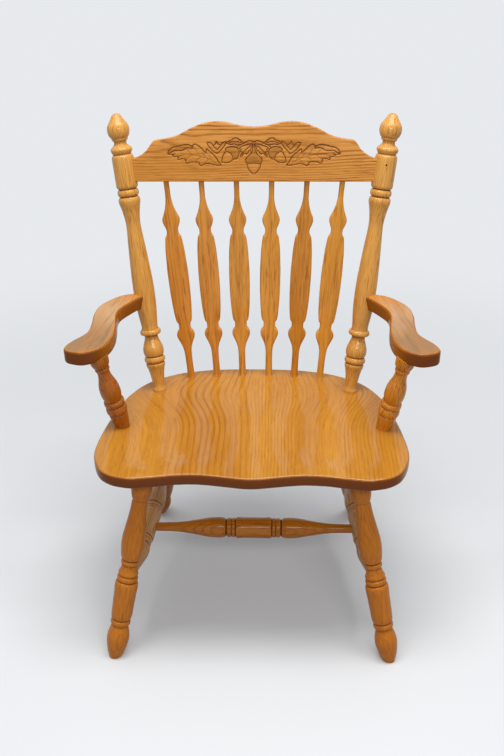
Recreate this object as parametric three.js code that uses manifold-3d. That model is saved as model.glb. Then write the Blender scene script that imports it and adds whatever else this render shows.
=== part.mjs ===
// A turned oak armchair: saddle seat, raked legs with an H stretcher, leaning back posts
// that hold a shaped crest rail, six flat arrow spindles, and sawn arms on turned supports.
// Millimetres. X is the viewer's right, Y the back, Z up from the floor.

import * as THREE from "three";
import { mergeVertices } from "three/addons/utils/BufferGeometryUtils.js";
import Module from "manifold-3d";

const wasm = await Module();
wasm.setup();

// Fits shared by all pieces
const jointGap = 0.3; // between a piece and the one that is let into it
const cutOverrun = 40; // how far a cutting block reaches past what it trims
const turningSides = 12; // facets round a turned piece
const spindleSides = 8; // points round a spindle's section

// Seat
const seatHeight = 436; // floor to the rim
const seatThickness = 32;
const seatRimHeight = 24; // of the upright edge, above the bevel under it
const seatBevelWidth = 26; // from the edge to the flat underside
const seatHalfWidth = 308;
const seatDepth = 446.5;
const seatFrontY = -205.5;
const seatDish = 8; // how far the hollows lie under the rim
const seatRidge = 5; // rise of the ridge between the thighs
const seatRidgeHalfWidth = 60;
const seatTopEase = 3; // width of the rounding along the upper edge
const seatLowerEase = 3;
const seatEaseBendShare = 0.3; // of an easing: where the middle of its bend lies
const seatOutlineSides = 52;
const seatTopRingShares = [1, 0.88, 0.64, 0.3]; // of the way from the middle to the rim
const seatOutlineShares = [
  // half outline from the middle of the back to the middle of the front:
  // shares of the half width, and of the depth from the front
  [0, 1], [0.195, 0.997], [0.403, 0.978], [0.552, 0.947], [0.682, 0.897], [0.744, 0.863],
  [0.815, 0.802], [0.886, 0.702], [0.929, 0.59], [0.961, 0.485], [0.98, 0.398], [0.995, 0.308],
  [1, 0.23], [0.987, 0.169], [0.954, 0.102], [0.886, 0.035], [0.792, 0.008], [0.73, 0],
  [0.61, 0.012], [0.49, 0.028], [0.367, 0.035], [0.247, 0.028], [0.123, 0.013], [0, 0.003],
];

// Legs
const legRadius = 23.5; // at the fullest part of the vase
const legLowerLength = 88; // foot, bulb, neck and bead
const legBeadsLength = 52;
const legCupLength = 65;
const legTenonRadius = 12.5;
const legTenonCover = 6; // wood of the seat left over a tenon
const frontLegHeadX = 207.4; // where the axis meets the underside of the seat
const frontLegHeadY = -129.8;
const frontLegSplay = 10.6; // degrees
const frontLegRake = 11.3;
const frontLegCylinderLength = 82;
const rearLegHeadX = 166.8;
const rearLegHeadY = 117.3;
const rearLegSplay = 11.1;
const rearLegRake = 24.5;
const rearLegCylinderLength = 158;

// Turned outlines of the legs: shares of the leg's radius, and of the length of that part
const legLowerShares = [
  [0.52, 0], [0.75, 0.13], [0.93, 0.34], [0.96, 0.54], [0.74, 0.77], [0.86, 0.885], [0.75, 0.95],
  [0.84, 1],
];
const legCylinderShares = [[0.93, 0.4], [0.95, 1]];
const legBeadShares = [
  [0.81, 0.06], [0.9, 0.19], [0.77, 0.29], [0.83, 0.36], [0.63, 0.71], [0.75, 0.82],
  [0.65, 0.92], [0.79, 1],
];
const legVaseShares = [[0.94, 0.12], [1, 0.27], [0.95, 0.45], [0.78, 0.7], [0.66, 0.96], [0.62, 1]];
const legCupShares = [[0.71, 0.065], [0.85, 0.34], [0.94, 0.62], [0.96, 0.9]];

// Stretchers
const stretcherRadius = 22.2;
const stretcherBarrelLength = 75;
const stretcherBeadLength = 21;
const stretcherNeckRadius = 9.4; // where it runs into the mortise
const sideStretcherFrontHeight = 147; // on the axis of the front leg
const sideStretcherRearHeight = 204;
const centerStretcherShare = 0.462; // of the side stretcher, from its front end
const stretcherTenonMargin = 2; // a tenon stops this far short of the other axis
const stretcherBeadShares = [
  // shares of the radius, and of the bead's length outward from the barrel
  [0.84, 0.06], [0.93, 0.4], [0.9, 0.82], [0.76, 0.95], [0.9, 1.05],
];
const stretcherVaseShares = [
  // shares of the swell above the neck, and of the length from the bead to the tenon
  [1, 0.14], [0.83, 0.3], [0.4, 0.5], [0.1, 0.74], [0, 0.92],
];

// Back posts
const postFootX = 206; // where the axis meets the height of the seat's rim
const postFootY = 139;
const postSplay = 6.96; // degrees
const postRake = 10.17;
const postLength = 585; // rim of the seat to the tip of the finial
const postRadius = 22.1; // at the fullest part of the finial
const postFootRadius = 12.4;
const postTenonLength = 24;
const postCollarHeight = 140; // along the post
const postVaseTop = 413;
const postBlockBottom = 437;
const postBlockTop = 505;
const postLowerShares = [
  // foot cup, ring, small vase and collar
  [0.62, 0.1], [0.8, 0.3], [0.865, 0.42], [0.79, 0.455], [0.92, 0.495],
  [0.8, 0.54], [0.94, 0.65], [0.64, 0.87], [0.92, 0.925], [0.93, 0.96], [0.76, 0.98], [0.73, 1],
];
const postVaseShares = [
  // shares of the length between the collar and the low bead
  [0.86, 0.15], [0.97, 0.31], [0.97, 0.46], [0.8, 0.62], [0.69, 0.75], [0.75, 0.86], [0.95, 1],
];
const postBeadShares = [[0.82, 0.26], [0.95, 0.42], [0.94, 0.72], [0.83, 0.88], [0.94, 1]];
const postFinialShares = [
  // shares of the length above the block
  [0.99, 0], [0.87, 0.04], [0.95, 0.1], [0.9, 0.19], [0.64, 0.3], [0.67, 0.36], [0.9, 0.46],
  [1, 0.62], [0.66, 0.84], [0.38, 0.94], [0.22, 1],
];

// Crest rail
const crestThickness = 22;
const crestHeight = 120.3; // at its two peaks
const crestHalfWidth = 240; // to the middle of the cove at a post
const crestBottomRise = 448; // from the seat's rim, measured up the leaning back
const crestEase = 2;
const crestTenonThickness = 12;
const crestTenonShoulder = 6; // above and below the tenon
const crestTenonReach = 30; // past the face of the post, so that the brad takes it
const crestCurveShares = [
  // half of the upper edge, from the dip in the middle to the cusp
  [0, 0.91], [0.06, 0.918], [0.15, 0.946], [0.225, 0.985], [0.317, 1], [0.415, 0.972],
  [0.525, 0.89], [0.645, 0.77], [0.735, 0.72], [0.838, 0.692],
];
const crestCoveShares = [[0.866, 0.61], [0.902, 0.515], [0.954, 0.43], [1.004, 0.388]];
const crestPinRadius = 1.3;
const crestPinLength = 24;
const crestPinRise = 34; // above the crest rail's lower edge
const crestPinSink = 1.8; // the brad's head lies this far under the post's surface

// Spindles
const spindleSeatX = [29, 85.7, 142]; // where the axes meet the height of the rim
const spindleSeatInset = 27; // from the middle of the seat's back edge to their arc
const spindleSeatArcRadius = 630;
const spindleCrestSpacing = 71.6;
const spindleHalfWidth = 21.6;
const spindleThickness = 11;
const spindleSeatRadius = 9;
const spindleCrestRadius = 6;
const spindleTenonLength = 19;
const spindleOutlineShares = [
  // shares of the half width, and of the length between seat and crest
  [0.41, 0.08], [0.4, 0.145], [0.6, 0.19], [0.84, 0.235], [0.49, 0.288], [0.8, 0.355],
  [0.97, 0.44], [1, 0.58], [0.88, 0.7], [0.51, 0.775], [0.81, 0.815], [0.52, 0.875],
  [0.35, 0.915],
];

// Arms
const armRise = 216; // top of the arm at the post, above the seat's rim
const armTilt = 5.3; // degrees, rising to the back
const armThickness = 30;
const armReach = 129; // from the post's axis out to the tip
const armLength = 248; // from the post's axis to the front
const armEase = 4;
const armOutlineShares = [
  // outer edge from inside the post to the front, then back along the inner edge:
  // shares of the reach outward, and of the length forward
  [0.03, 0.0], [0.17, 0.035], [0.34, 0.066], [0.516, 0.145], [0.652, 0.244], [0.706, 0.381],
  [0.698, 0.533], [0.718, 0.663], [0.79, 0.735], [0.904, 0.806], [0.974, 0.865], [0.997, 0.922],
  [0.95, 0.966], [0.811, 0.995], [0.66, 0.993], [0.45, 0.926], [0.338, 0.821], [0.295, 0.699],
  [0.303, 0.568], [0.334, 0.396], [0.303, 0.313], [0.175, 0.197], [0.036, 0.104], [-0.08, 0.047],
];
const armScrewRadius = 2.3;
const armScrewHeadRadius = 4.3;
const armScrewHeadLength = 3;
const armScrewLength = 52;
const armScrewHeading = 57; // degrees from sideways toward the front
const armPlugRadius = 5;
const armPlugLength = 6;

// Arm supports
const supportFootX = 265;
const supportFootY = -12;
const supportSplay = 11.3;
const supportLean = 7.6; // toward the front
const supportRadius = 21.6;
const supportTenonRadius = 10;
const supportTenonLength = 12;
const supportHousingMargin = 1;
const supportOutlineShares = [
  [0.7, 0], [0.82, 0.06], [0.97, 0.23], [0.85, 0.27], [0.92, 0.33], [0.77, 0.375], [0.82, 0.4],
  [1, 0.54], [0.94, 0.62], [0.7, 0.71], [0.5, 0.79], [0.56, 0.82], [0.54, 0.845], [0.8, 0.91],
  [0.84, 0.96], [0.81, 1],
];

const seatUnderside = seatHeight - seatThickness;

// Shared shapes and helpers

function leanDirection(side, splay, rake) {
  // unit vector upward along an axis that leans outward by splay and back by rake
  const outward = Math.tan(THREE.MathUtils.degToRad(splay));
  const backward = Math.tan(THREE.MathUtils.degToRad(rake));
  return new THREE.Vector3(side * outward, backward, 1).normalize();
}

function alongAxis(start, direction, distance) {
  return start.clone().addScaledVector(direction, distance);
}

function solidOf(geometry, matrix) {
  // a closed solid from a geometry, placed by the matrix
  const placed = geometry.clone().applyMatrix4(matrix);
  placed.deleteAttribute("normal");
  placed.deleteAttribute("uv");
  const merged = mergeVertices(placed);
  const corners = merged.index.array;
  const faces = [];
  for (let i = 0; i < corners.length; i += 3) {
    const [a, b, c] = [corners[i], corners[i + 1], corners[i + 2]];
    if (a !== b && b !== c && c !== a) faces.push(a, b, c);
  }
  return new wasm.Manifold(new wasm.Mesh({
    numProp: 3,
    vertProperties: new Float32Array(merged.attributes.position.array),
    triVerts: new Uint32Array(faces),
  }));
}

function axisMatrix(start, direction) {
  // places a lathe's Y axis along the direction
  const turn = new THREE.Quaternion().setFromUnitVectors(new THREE.Vector3(0, 1, 0), direction);
  return new THREE.Matrix4().compose(start, turn, new THREE.Vector3(1, 1, 1));
}

function grownProfile(profile, growth) {
  // the profile moved outward by the growth, with its corners mitred
  const edgeNormal = ([r0, s0], [r1, s1]) => new THREE.Vector2(s1 - s0, r0 - r1).normalize();
  return profile.map(([radius, along], i) => {
    const before = edgeNormal(profile[Math.max(i - 1, 0)], profile[Math.max(i, 1)]);
    const last = profile.length - 1;
    const after = edgeNormal(profile[Math.min(i, last - 1)], profile[Math.min(i + 1, last)]);
    const miter = before.clone().add(after).normalize();
    const stretch = growth / Math.max(miter.dot(after), 0.5);
    const grownRadius = radius === 0 ? 0 : radius + miter.x * stretch;
    return [grownRadius, along + miter.y * (radius === 0 ? growth : stretch)];
  });
}

function turned(profile, start, direction, growth = 0) {
  // a turned solid from [radius, distance along the axis] pairs, closed on the axis
  const [first, last] = [profile[0], profile[profile.length - 1]];
  const closed = [[0, first[1]], ...profile, [0, last[1]]];
  const points = grownProfile(closed, growth).map(([r, s]) => new THREE.Vector2(r, s));
  return solidOf(new THREE.LatheGeometry(points, turningSides), axisMatrix(start, direction));
}

function section(shares, radius, start, length) {
  return shares.map(([radiusShare, alongShare]) => [radius * radiusShare, start + length * alongShare]);
}

function skin(rings) {
  // a closed surface over rings of points, each ring counterclockwise seen from the last one's end
  const count = rings[0].length;
  const middle = (ring) =>
    ring.reduce((sum, point) => sum.add(point), new THREE.Vector3()).divideScalar(count);
  const points = [...rings.flat(), middle(rings[0]), middle(rings[rings.length - 1])];
  const faces = [];
  for (let j = 0; j < count; j++) {
    const next = (j + 1) % count;
    for (let i = 0; i + 1 < rings.length; i++) {
      const [low, high] = [i * count, (i + 1) * count];
      faces.push(low + j, low + next, high + next, low + j, high + next, high + j);
    }
    const top = (rings.length - 1) * count;
    faces.push(points.length - 2, next, j, points.length - 1, top + j, top + next);
  }
  const geometry = new THREE.BufferGeometry().setFromPoints(points);
  geometry.setIndex(faces);
  return solidOf(geometry, new THREE.Matrix4());
}

function block(width, depth, height, matrix) {
  return solidOf(new THREE.BoxGeometry(width, depth, height), matrix);
}

function cutBy(solid, cutters) {
  return cutters.reduce((rest, cutter) => rest.subtract(cutter), solid);
}

// Legs: each is described once, and drawn at its own size or grown by the joint's gap

const legKinds = {
  front: {
    headX: frontLegHeadX, headY: frontLegHeadY, splay: frontLegSplay, rake: -frontLegRake,
    cylinder: frontLegCylinderLength, stretcherHeight: sideStretcherFrontHeight,
  },
  rear: {
    headX: rearLegHeadX, headY: rearLegHeadY, splay: rearLegSplay, rake: rearLegRake,
    cylinder: rearLegCylinderLength, stretcherHeight: sideStretcherRearHeight,
  },
};

function legPlan(kindName, side) {
  const kind = legKinds[kindName];
  const head = new THREE.Vector3(side * kind.headX, kind.headY, seatUnderside);
  const downward = leanDirection(side, kind.splay, kind.rake);
  downward.z *= -1;
  const length = seatUnderside / -downward.z;
  const foot = alongAxis(head, downward, length);
  const upward = downward.clone().negate();
  const stretcherPoint = alongAxis(foot, upward, kind.stretcherHeight / upward.z);
  const cupRadius = legRadius * legCupShares[legCupShares.length - 1][0];
  const tiltTangent = Math.hypot(upward.x, upward.y) / upward.z;
  const beadsStart = legLowerLength + kind.cylinder;
  const vaseStart = beadsStart + legBeadsLength;
  const cupStart = length - legCupLength;
  const tenonRise = seatThickness - seatDish - legTenonCover;
  const tenonTip = length + tenonRise / upward.z - legTenonRadius * tiltTangent;
  const profile = [
    [legRadius * legLowerShares[0][0], -cutOverrun],
    ...section(legLowerShares, legRadius, 0, legLowerLength),
    ...section(legCylinderShares, legRadius, legLowerLength, kind.cylinder),
    ...section(legBeadShares, legRadius, beadsStart, legBeadsLength),
    ...section(legVaseShares, legRadius, vaseStart, cupStart - vaseStart),
    ...section(legCupShares, legRadius, cupStart, legCupLength),
    [cupRadius, length + cutOverrun],
  ];
  const tenonProfile = [[legTenonRadius, cupStart], [legTenonRadius, tenonTip]];
  return { profile, tenonProfile, foot, upward, stretcherPoint };
}

function levelBlock(middleHeight) {
  // wide enough to trim all the legs level
  const place = new THREE.Matrix4().makeTranslation(0, 0, middleHeight);
  return block(4 * seatHalfWidth, 4 * seatDepth, 2 * cutOverrun, place);
}

const floorBlock = levelBlock(-cutOverrun);
const headBlock = levelBlock(seatUnderside - jointGap + cutOverrun);

function legTenon(plan, growth = 0) {
  return turned(plan.tenonProfile, plan.foot, plan.upward, growth);
}

function legSolid(plan) {
  // the turning is trimmed level at the floor and under the seat, and its tenon goes on up
  const turning = turned(plan.profile, plan.foot, plan.upward);
  return cutBy(turning, [floorBlock, headBlock]).add(legTenon(plan));
}

// Stretchers: a barrel in the middle, a bead and a long vase on either side

function stretcherPlan(start, end) {
  const middle = start.clone().add(end).divideScalar(2);
  const direction = end.clone().sub(start).normalize();
  const halfLength = start.distanceTo(end) / 2 - stretcherTenonMargin;
  const barrelEnd = stretcherBarrelLength / 2;
  const beadEnd = barrelEnd + stretcherBeadLength;
  const swell = stretcherRadius - stretcherNeckRadius;
  const half = [
    [stretcherRadius, barrelEnd],
    ...section(stretcherBeadShares, stretcherRadius, barrelEnd, stretcherBeadLength),
    ...stretcherVaseShares.map(([swellShare, alongShare]) => [
      stretcherNeckRadius + swell * swellShare, beadEnd + (halfLength - beadEnd) * alongShare,
    ]),
    [stretcherNeckRadius, halfLength],
  ];
  const mirrored = half.map(([radius, along]) => [radius, -along]).reverse();
  return { profile: [...mirrored, ...half], middle, direction };
}

function stretcherSolid(plan, growth = 0) {
  return turned(plan.profile, plan.middle, plan.direction, growth);
}

// Back posts

function postPlan(side) {
  const foot = new THREE.Vector3(side * postFootX, postFootY, seatHeight);
  const upward = leanDirection(side, postSplay, postRake);
  const vaseLength = postVaseTop - postCollarHeight;
  const profile = [
    [postFootRadius, -postTenonLength],
    [postFootRadius, 0],
    ...section(postLowerShares, postRadius, 0, postCollarHeight),
    ...section(postVaseShares, postRadius, postCollarHeight, vaseLength),
    ...section(postBeadShares, postRadius, postVaseTop, postBlockBottom - postVaseTop),
    ...section(postFinialShares, postRadius, postBlockTop, postLength - postBlockTop),
  ];
  return { profile, foot, upward };
}

function postSolid(plan, growth = 0) {
  return turned(plan.profile, plan.foot, plan.upward, growth);
}

function postAxisAtHeight(plan, height) {
  return alongAxis(plan.foot, plan.upward, (height - plan.foot.z) / plan.upward.z);
}

// Crest rail: drawn flat, then laid in the leaning plane of the two posts

const backRake = THREE.MathUtils.degToRad(postRake);
const backUp = new THREE.Vector3(0, Math.sin(backRake), Math.cos(backRake));
const backFront = new THREE.Vector3(0, -Math.cos(backRake), Math.sin(backRake));
const crestOrigin = alongAxis(new THREE.Vector3(0, postFootY, seatHeight), backUp, crestBottomRise);
const crestMatrix = new THREE.Matrix4()
  .makeBasis(new THREE.Vector3(1, 0, 0), backUp, backFront)
  .setPosition(crestOrigin);
const crestEndHeight = crestHeight * crestCoveShares[crestCoveShares.length - 1][1];
const crestTenonHeight = crestEndHeight - 2 * crestTenonShoulder;
const postXAtCrest = postAxisAtHeight(postPlan(1), crestOrigin.z).x;

function crestBoard() {
  const half = [...crestCurveShares, ...crestCoveShares].map(
    ([x, y]) => new THREE.Vector2(x * crestHalfWidth, y * crestHeight),
  );
  const curveCount = crestCurveShares.length;
  const mirror = (point) => new THREE.Vector2(-point.x, point.y);
  const shape = new THREE.Shape();
  shape.moveTo(-postXAtCrest, 0);
  shape.lineTo(postXAtCrest, 0);
  shape.lineTo(postXAtCrest, crestEndHeight);
  const rightCove = half.slice(curveCount - 1).reverse();
  shape.lineTo(rightCove[0].x, rightCove[0].y);
  shape.splineThru(rightCove.slice(1));
  const rightCurve = half.slice(0, curveCount - 1).reverse();
  shape.splineThru([...rightCurve, ...half.slice(1, curveCount).map(mirror)]);
  shape.splineThru(half.slice(curveCount).map(mirror));
  shape.lineTo(-postXAtCrest, crestEndHeight);
  const geometry = new THREE.ExtrudeGeometry(shape, {
    depth: crestThickness - 2 * crestEase, curveSegments: 2, bevelSegments: 1,
    bevelThickness: crestEase, bevelSize: crestEase, bevelOffset: -crestEase,
  });
  const centring = new THREE.Matrix4().makeTranslation(0, 0, crestEase - crestThickness / 2);
  return solidOf(geometry, crestMatrix.clone().multiply(centring));
}

function crestTenon(side, growth = 0) {
  const face = postXAtCrest - postRadius;
  const root = face - crestTenonReach;
  const tip = face + crestTenonReach;
  const local = new THREE.Matrix4().makeTranslation(side * (root + tip) / 2, crestEndHeight / 2, 0);
  const spread = 2 * growth;
  return block(
    tip - root + spread, crestTenonHeight + spread, crestTenonThickness + spread,
    crestMatrix.clone().multiply(local),
  );
}

function crestPin(side, growth = 0) {
  // a brad driven square to the back, from the front of the post through the tenon
  const height = crestOrigin.z + crestPinRise * backUp.z;
  const onAxis = postAxisAtHeight(postPlan(side), height);
  const start = alongAxis(onAxis, backFront, postRadius - crestPinLength - crestPinSink);
  const profile = [[crestPinRadius, 0], [crestPinRadius, crestPinLength]];
  return turned(profile, start, backFront, growth);
}

// Spindles: round tenons, and a flat arrow outline between them

function spindlePlan(index) {
  const side = index < spindleSeatX.length ? -1 : 1;
  const rank = side < 0 ? spindleSeatX.length - 1 - index : index - spindleSeatX.length;
  const seatX = spindleSeatX[rank];
  const sag = spindleSeatArcRadius - Math.sqrt(spindleSeatArcRadius ** 2 - seatX ** 2);
  const seatY = seatFrontY + seatDepth - spindleSeatInset - sag;
  const start = new THREE.Vector3(side * seatX, seatY, seatHeight);
  const end = crestOrigin.clone().setX(side * spindleCrestSpacing * (rank + 0.5));
  return { start, end };
}

function spindleSolid({ start, end }, growth = 0) {
  const axis = end.clone().sub(start);
  const length = axis.length();
  axis.normalize();
  const across = new THREE.Vector3(1, 0, 0).addScaledVector(axis, -axis.x).normalize();
  const backward = new THREE.Vector3().crossVectors(axis, across);
  const cornerReach = 1 / Math.cos(Math.PI / spindleSides); // puts the flats at the stated width
  const round = (radius, along) => ({ halfWidth: radius, halfThickness: radius, along });
  const flat = ([widthShare, alongShare]) => ({
    halfWidth: spindleHalfWidth * widthShare,
    halfThickness: spindleThickness / 2,
    along: length * alongShare,
  });
  const stations = [
    round(spindleSeatRadius, -spindleTenonLength - growth),
    round(spindleSeatRadius, 0),
    ...spindleOutlineShares.map(flat),
    round(spindleCrestRadius, length),
    round(spindleCrestRadius, length + spindleTenonLength + growth),
  ];
  const rings = stations.map(({ halfWidth, halfThickness, along }) =>
    Array.from({ length: spindleSides }, (_, k) => {
      const angle = (2 * Math.PI * (k + 0.5)) / spindleSides;
      return alongAxis(start, axis, along)
        .addScaledVector(across, (halfWidth + growth) * cornerReach * Math.cos(angle))
        .addScaledVector(backward, (halfThickness + growth) * cornerReach * Math.sin(angle));
    }));
  return skin(rings);
}

// Arms: an outline in plan, tilted so that it rises to the post

function armFrame(side) {
  // origin where the post's axis meets the height of the arm's top
  const origin = postAxisAtHeight(postPlan(side), seatHeight + armRise);
  return new THREE.Matrix4()
    .makeRotationX(THREE.MathUtils.degToRad(armTilt))
    .setPosition(origin);
}

function armBoard(side) {
  const outline = armOutlineShares.map(
    ([x, y]) => new THREE.Vector2(side * x * armReach, -y * armLength),
  );
  const shape = new THREE.Shape();
  shape.moveTo(outline[0].x, outline[0].y);
  shape.splineThru(outline.slice(1));
  const geometry = new THREE.ExtrudeGeometry(shape, {
    depth: armThickness - 2 * armEase, curveSegments: 2, bevelSegments: 1,
    bevelThickness: armEase, bevelSize: armEase, bevelOffset: -armEase,
  });
  const lowering = new THREE.Matrix4().makeTranslation(0, 0, armEase - armThickness);
  return solidOf(geometry, armFrame(side).multiply(lowering));
}

function armScrewPlan(side) {
  // the screw runs from the back of the post, through its axis, into the arm's end
  const heading = THREE.MathUtils.degToRad(armScrewHeading);
  const local = new THREE.Vector3(side * Math.cos(heading), -Math.sin(heading), 0);
  const frame = armFrame(side);
  const direction = local.transformDirection(frame);
  const center = new THREE.Vector3(0, 0, -armThickness / 2).applyMatrix4(frame);
  const plugStart = alongAxis(center, direction, -postRadius + jointGap);
  const headStart = alongAxis(plugStart, direction, armPlugLength + jointGap);
  return { direction, plugStart, headStart };
}

function armScrew(side, growth = 0) {
  const { direction, headStart } = armScrewPlan(side);
  const profile = [
    [armScrewHeadRadius, 0], [armScrewRadius, armScrewHeadLength], [armScrewRadius, armScrewLength],
  ];
  return turned(profile, headStart, direction, growth);
}

function armPlug(side, growth = 0, overrun = 0) {
  const { direction, plugStart } = armScrewPlan(side);
  const profile = [[armPlugRadius, -overrun], [armPlugRadius, armPlugLength]];
  return turned(profile, plugStart, direction, growth);
}

// Arm supports: from the seat up to the underside of the arm

function supportPlan(side) {
  const foot = new THREE.Vector3(side * supportFootX, supportFootY, seatHeight);
  const upward = leanDirection(side, supportSplay, -supportLean);
  const frame = armFrame(side);
  const underside = new THREE.Vector3(0, 0, -armThickness).applyMatrix4(frame);
  const normal = new THREE.Vector3(0, 0, 1).transformDirection(frame);
  const length = underside.sub(foot).dot(normal) / upward.dot(normal);
  const footRadius = supportRadius * supportOutlineShares[0][0];
  const capRadius = supportRadius * supportOutlineShares[supportOutlineShares.length - 1][0];
  const footTangent = Math.hypot(upward.x, upward.y) / upward.z;
  const capTangent = Math.tan(upward.angleTo(normal));
  const footHousing = footRadius * footTangent + seatDish;
  const capHousing = capRadius * capTangent + supportHousingMargin;
  const profile = [
    [supportTenonRadius, -footHousing - supportTenonLength],
    [supportTenonRadius, -footHousing],
    [footRadius, -footHousing],
    ...section(supportOutlineShares, supportRadius, 0, length),
    [capRadius, length + capHousing],
    [supportTenonRadius, length + capHousing],
    [supportTenonRadius, length + capHousing + supportTenonLength / 2],
  ];
  return { profile, foot, upward };
}

function supportSolid(plan, growth = 0) {
  return turned(plan.profile, plan.foot, plan.upward, growth);
}

// Seat: rings from the flat underside, round the eased edge, to the dished top

function seatOutline() {
  const half = seatOutlineShares.map(
    ([x, y]) => new THREE.Vector3(x * seatHalfWidth, seatFrontY + y * seatDepth, 0),
  );
  const otherHalf = half.slice(1, -1).reverse().map(({ x, y }) => new THREE.Vector3(-x, y, 0));
  const curve = new THREE.CatmullRomCurve3([...half, ...otherHalf], true, "centripetal");
  return curve.getSpacedPoints(seatOutlineSides).slice(0, seatOutlineSides).reverse();
}

function seatDrop(point, ringShare) {
  // how far the top lies under the rim, at a ring that is this share of the way out
  const hollow = 1 - ringShare ** 3;
  const forward = 1 - (point.y - seatFrontY) / seatDepth;
  const ridge = Math.exp(-((point.x / seatRidgeHalfWidth) ** 2)) * forward * seatRidge;
  return hollow * (seatDish - ridge);
}

function seatSolid() {
  const outline = seatOutline();
  const middle = new THREE.Vector3(0, seatFrontY + seatDepth / 2, 0);
  const inset = (distance) =>
    outline.map((point, i) => {
      const before = outline[(i + seatOutlineSides - 1) % seatOutlineSides];
      const after = outline[(i + 1) % seatOutlineSides];
      const tangent = after.clone().sub(before).normalize();
      return new THREE.Vector3(point.x - tangent.y * distance, point.y + tangent.x * distance, 0);
    });
  const edgeRing = (distance, height) =>
    inset(distance).map(({ x, y }) => new THREE.Vector3(x, y, seatUnderside + height));
  const topLoop = inset(seatTopEase);
  const topRing = (share) =>
    topLoop.map((point) => {
      const place = middle.clone().lerp(point, share);
      return place.setZ(seatHeight - seatDrop(place, share));
    });
  const bevelRise = seatThickness - seatRimHeight;
  const upperBend = seatTopEase * seatEaseBendShare;
  return skin([
    edgeRing(seatBevelWidth, 0),
    edgeRing(seatLowerEase, bevelRise),
    edgeRing(0, bevelRise + seatLowerEase),
    edgeRing(0, seatThickness - seatTopEase),
    edgeRing(upperBend, seatThickness - upperBend),
    ...seatTopRingShares.map(topRing),
  ]);
}

// Wood and metal

const oak = { color: 0xc07a32, roughness: 0.42, metalness: 0 };
const wornOak = { color: 0xb08050, roughness: 0.55, metalness: 0 };
const steel = { color: 0x6b6b6e, roughness: 0.35, metalness: 1 };

const chair = new THREE.Group();

function addPiece(name, solid, finish) {
  const { vertProperties, triVerts } = solid.getMesh();
  const geometry = new THREE.BufferGeometry();
  geometry.setAttribute("position", new THREE.BufferAttribute(vertProperties, 3));
  geometry.setIndex(new THREE.BufferAttribute(triVerts, 1));
  geometry.computeVertexNormals();
  const mesh = new THREE.Mesh(geometry, new THREE.MeshStandardMaterial(finish));
  mesh.name = name;
  chair.add(mesh);
}

// Assembly: every piece is cut by what is let into it

const sides = [["left", -1], ["right", 1]];
const seatCutters = [];
const crestCutters = [];
const crestTenons = [];
const joiningPoints = [];

for (const [sideName, side] of sides) {
  const frontLeg = legPlan("front", side);
  const rearLeg = legPlan("rear", side);
  const stretcher = stretcherPlan(frontLeg.stretcherPoint, rearLeg.stretcherPoint);
  const joiningPoint = frontLeg.stretcherPoint.clone()
    .lerp(rearLeg.stretcherPoint, centerStretcherShare);
  joiningPoints.push(joiningPoint);
  for (const [kindName, plan] of [["front", frontLeg], ["rear", rearLeg]]) {
    const mortise = stretcherSolid(stretcher, jointGap);
    addPiece(`leg_${kindName}_${sideName}`, cutBy(legSolid(plan), [mortise]), oak);
    seatCutters.push(legTenon(plan, jointGap));
  }
}

const centerStretcher = stretcherPlan(joiningPoints[0], joiningPoints[1]);
for (const [sideName, side] of sides) {
  const start = legPlan("front", side).stretcherPoint;
  const end = legPlan("rear", side).stretcherPoint;
  const solid = stretcherSolid(stretcherPlan(start, end));
  const cutters = [stretcherSolid(centerStretcher, jointGap)];
  addPiece(`side_stretcher_${sideName}`, cutBy(solid, cutters), oak);
}
addPiece("center_stretcher", stretcherSolid(centerStretcher), oak);

for (const [sideName, side] of sides) {
  const post = postPlan(side);
  const support = supportPlan(side);
  const screwCutter = armScrew(side, jointGap);
  const postCutters = [
    crestTenon(side, jointGap), crestPin(side, jointGap), screwCutter,
    armPlug(side, jointGap, postRadius),
  ];
  addPiece(`back_post_${sideName}`, cutBy(postSolid(post), postCutters), oak);
  crestCutters.push(postSolid(post, jointGap));
  crestTenons.push(cutBy(crestTenon(side), [crestPin(side, jointGap)]));
  const armCutters = [postSolid(post, jointGap), supportSolid(support, jointGap), screwCutter];
  addPiece(`arm_${sideName}`, cutBy(armBoard(side), armCutters), wornOak);
  addPiece(`arm_support_${sideName}`, supportSolid(support), oak);
  addPiece(`crest_pin_${sideName}`, crestPin(side), steel);
  addPiece(`arm_screw_${sideName}`, armScrew(side), steel);
  addPiece(`arm_plug_${sideName}`, armPlug(side), oak);
  seatCutters.push(postSolid(post, jointGap), supportSolid(support, jointGap));
}

for (let index = 0; index < 2 * spindleSeatX.length; index++) {
  const plan = spindlePlan(index);
  addPiece(`spindle_${index + 1}`, spindleSolid(plan), oak);
  seatCutters.push(spindleSolid(plan, jointGap));
  crestCutters.push(spindleSolid(plan, jointGap));
}

const crestBody = crestTenons.reduce(
  (body, tenon) => body.add(tenon), cutBy(crestBoard(), crestCutters),
);
addPiece("crest_rail", crestBody, oak);
addPiece("seat", cutBy(seatSolid(), seatCutters), oak);

// The chair stands with the middle of its box over the origin
const box = new THREE.Box3().setFromObject(chair);
const center = box.getCenter(new THREE.Vector3());
chair.position.set(-center.x, -center.y, -box.min.z);
chair.updateMatrixWorld(true);

export default chair;
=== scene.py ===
# An oak armchair: the looks of every piece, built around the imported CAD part.
# Sizes are in millimetres where a comment doesn't say otherwise, and Blender's are metres.

import math

import bmesh
import bpy
import numpy as np
from mathutils import Matrix, Vector


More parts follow.
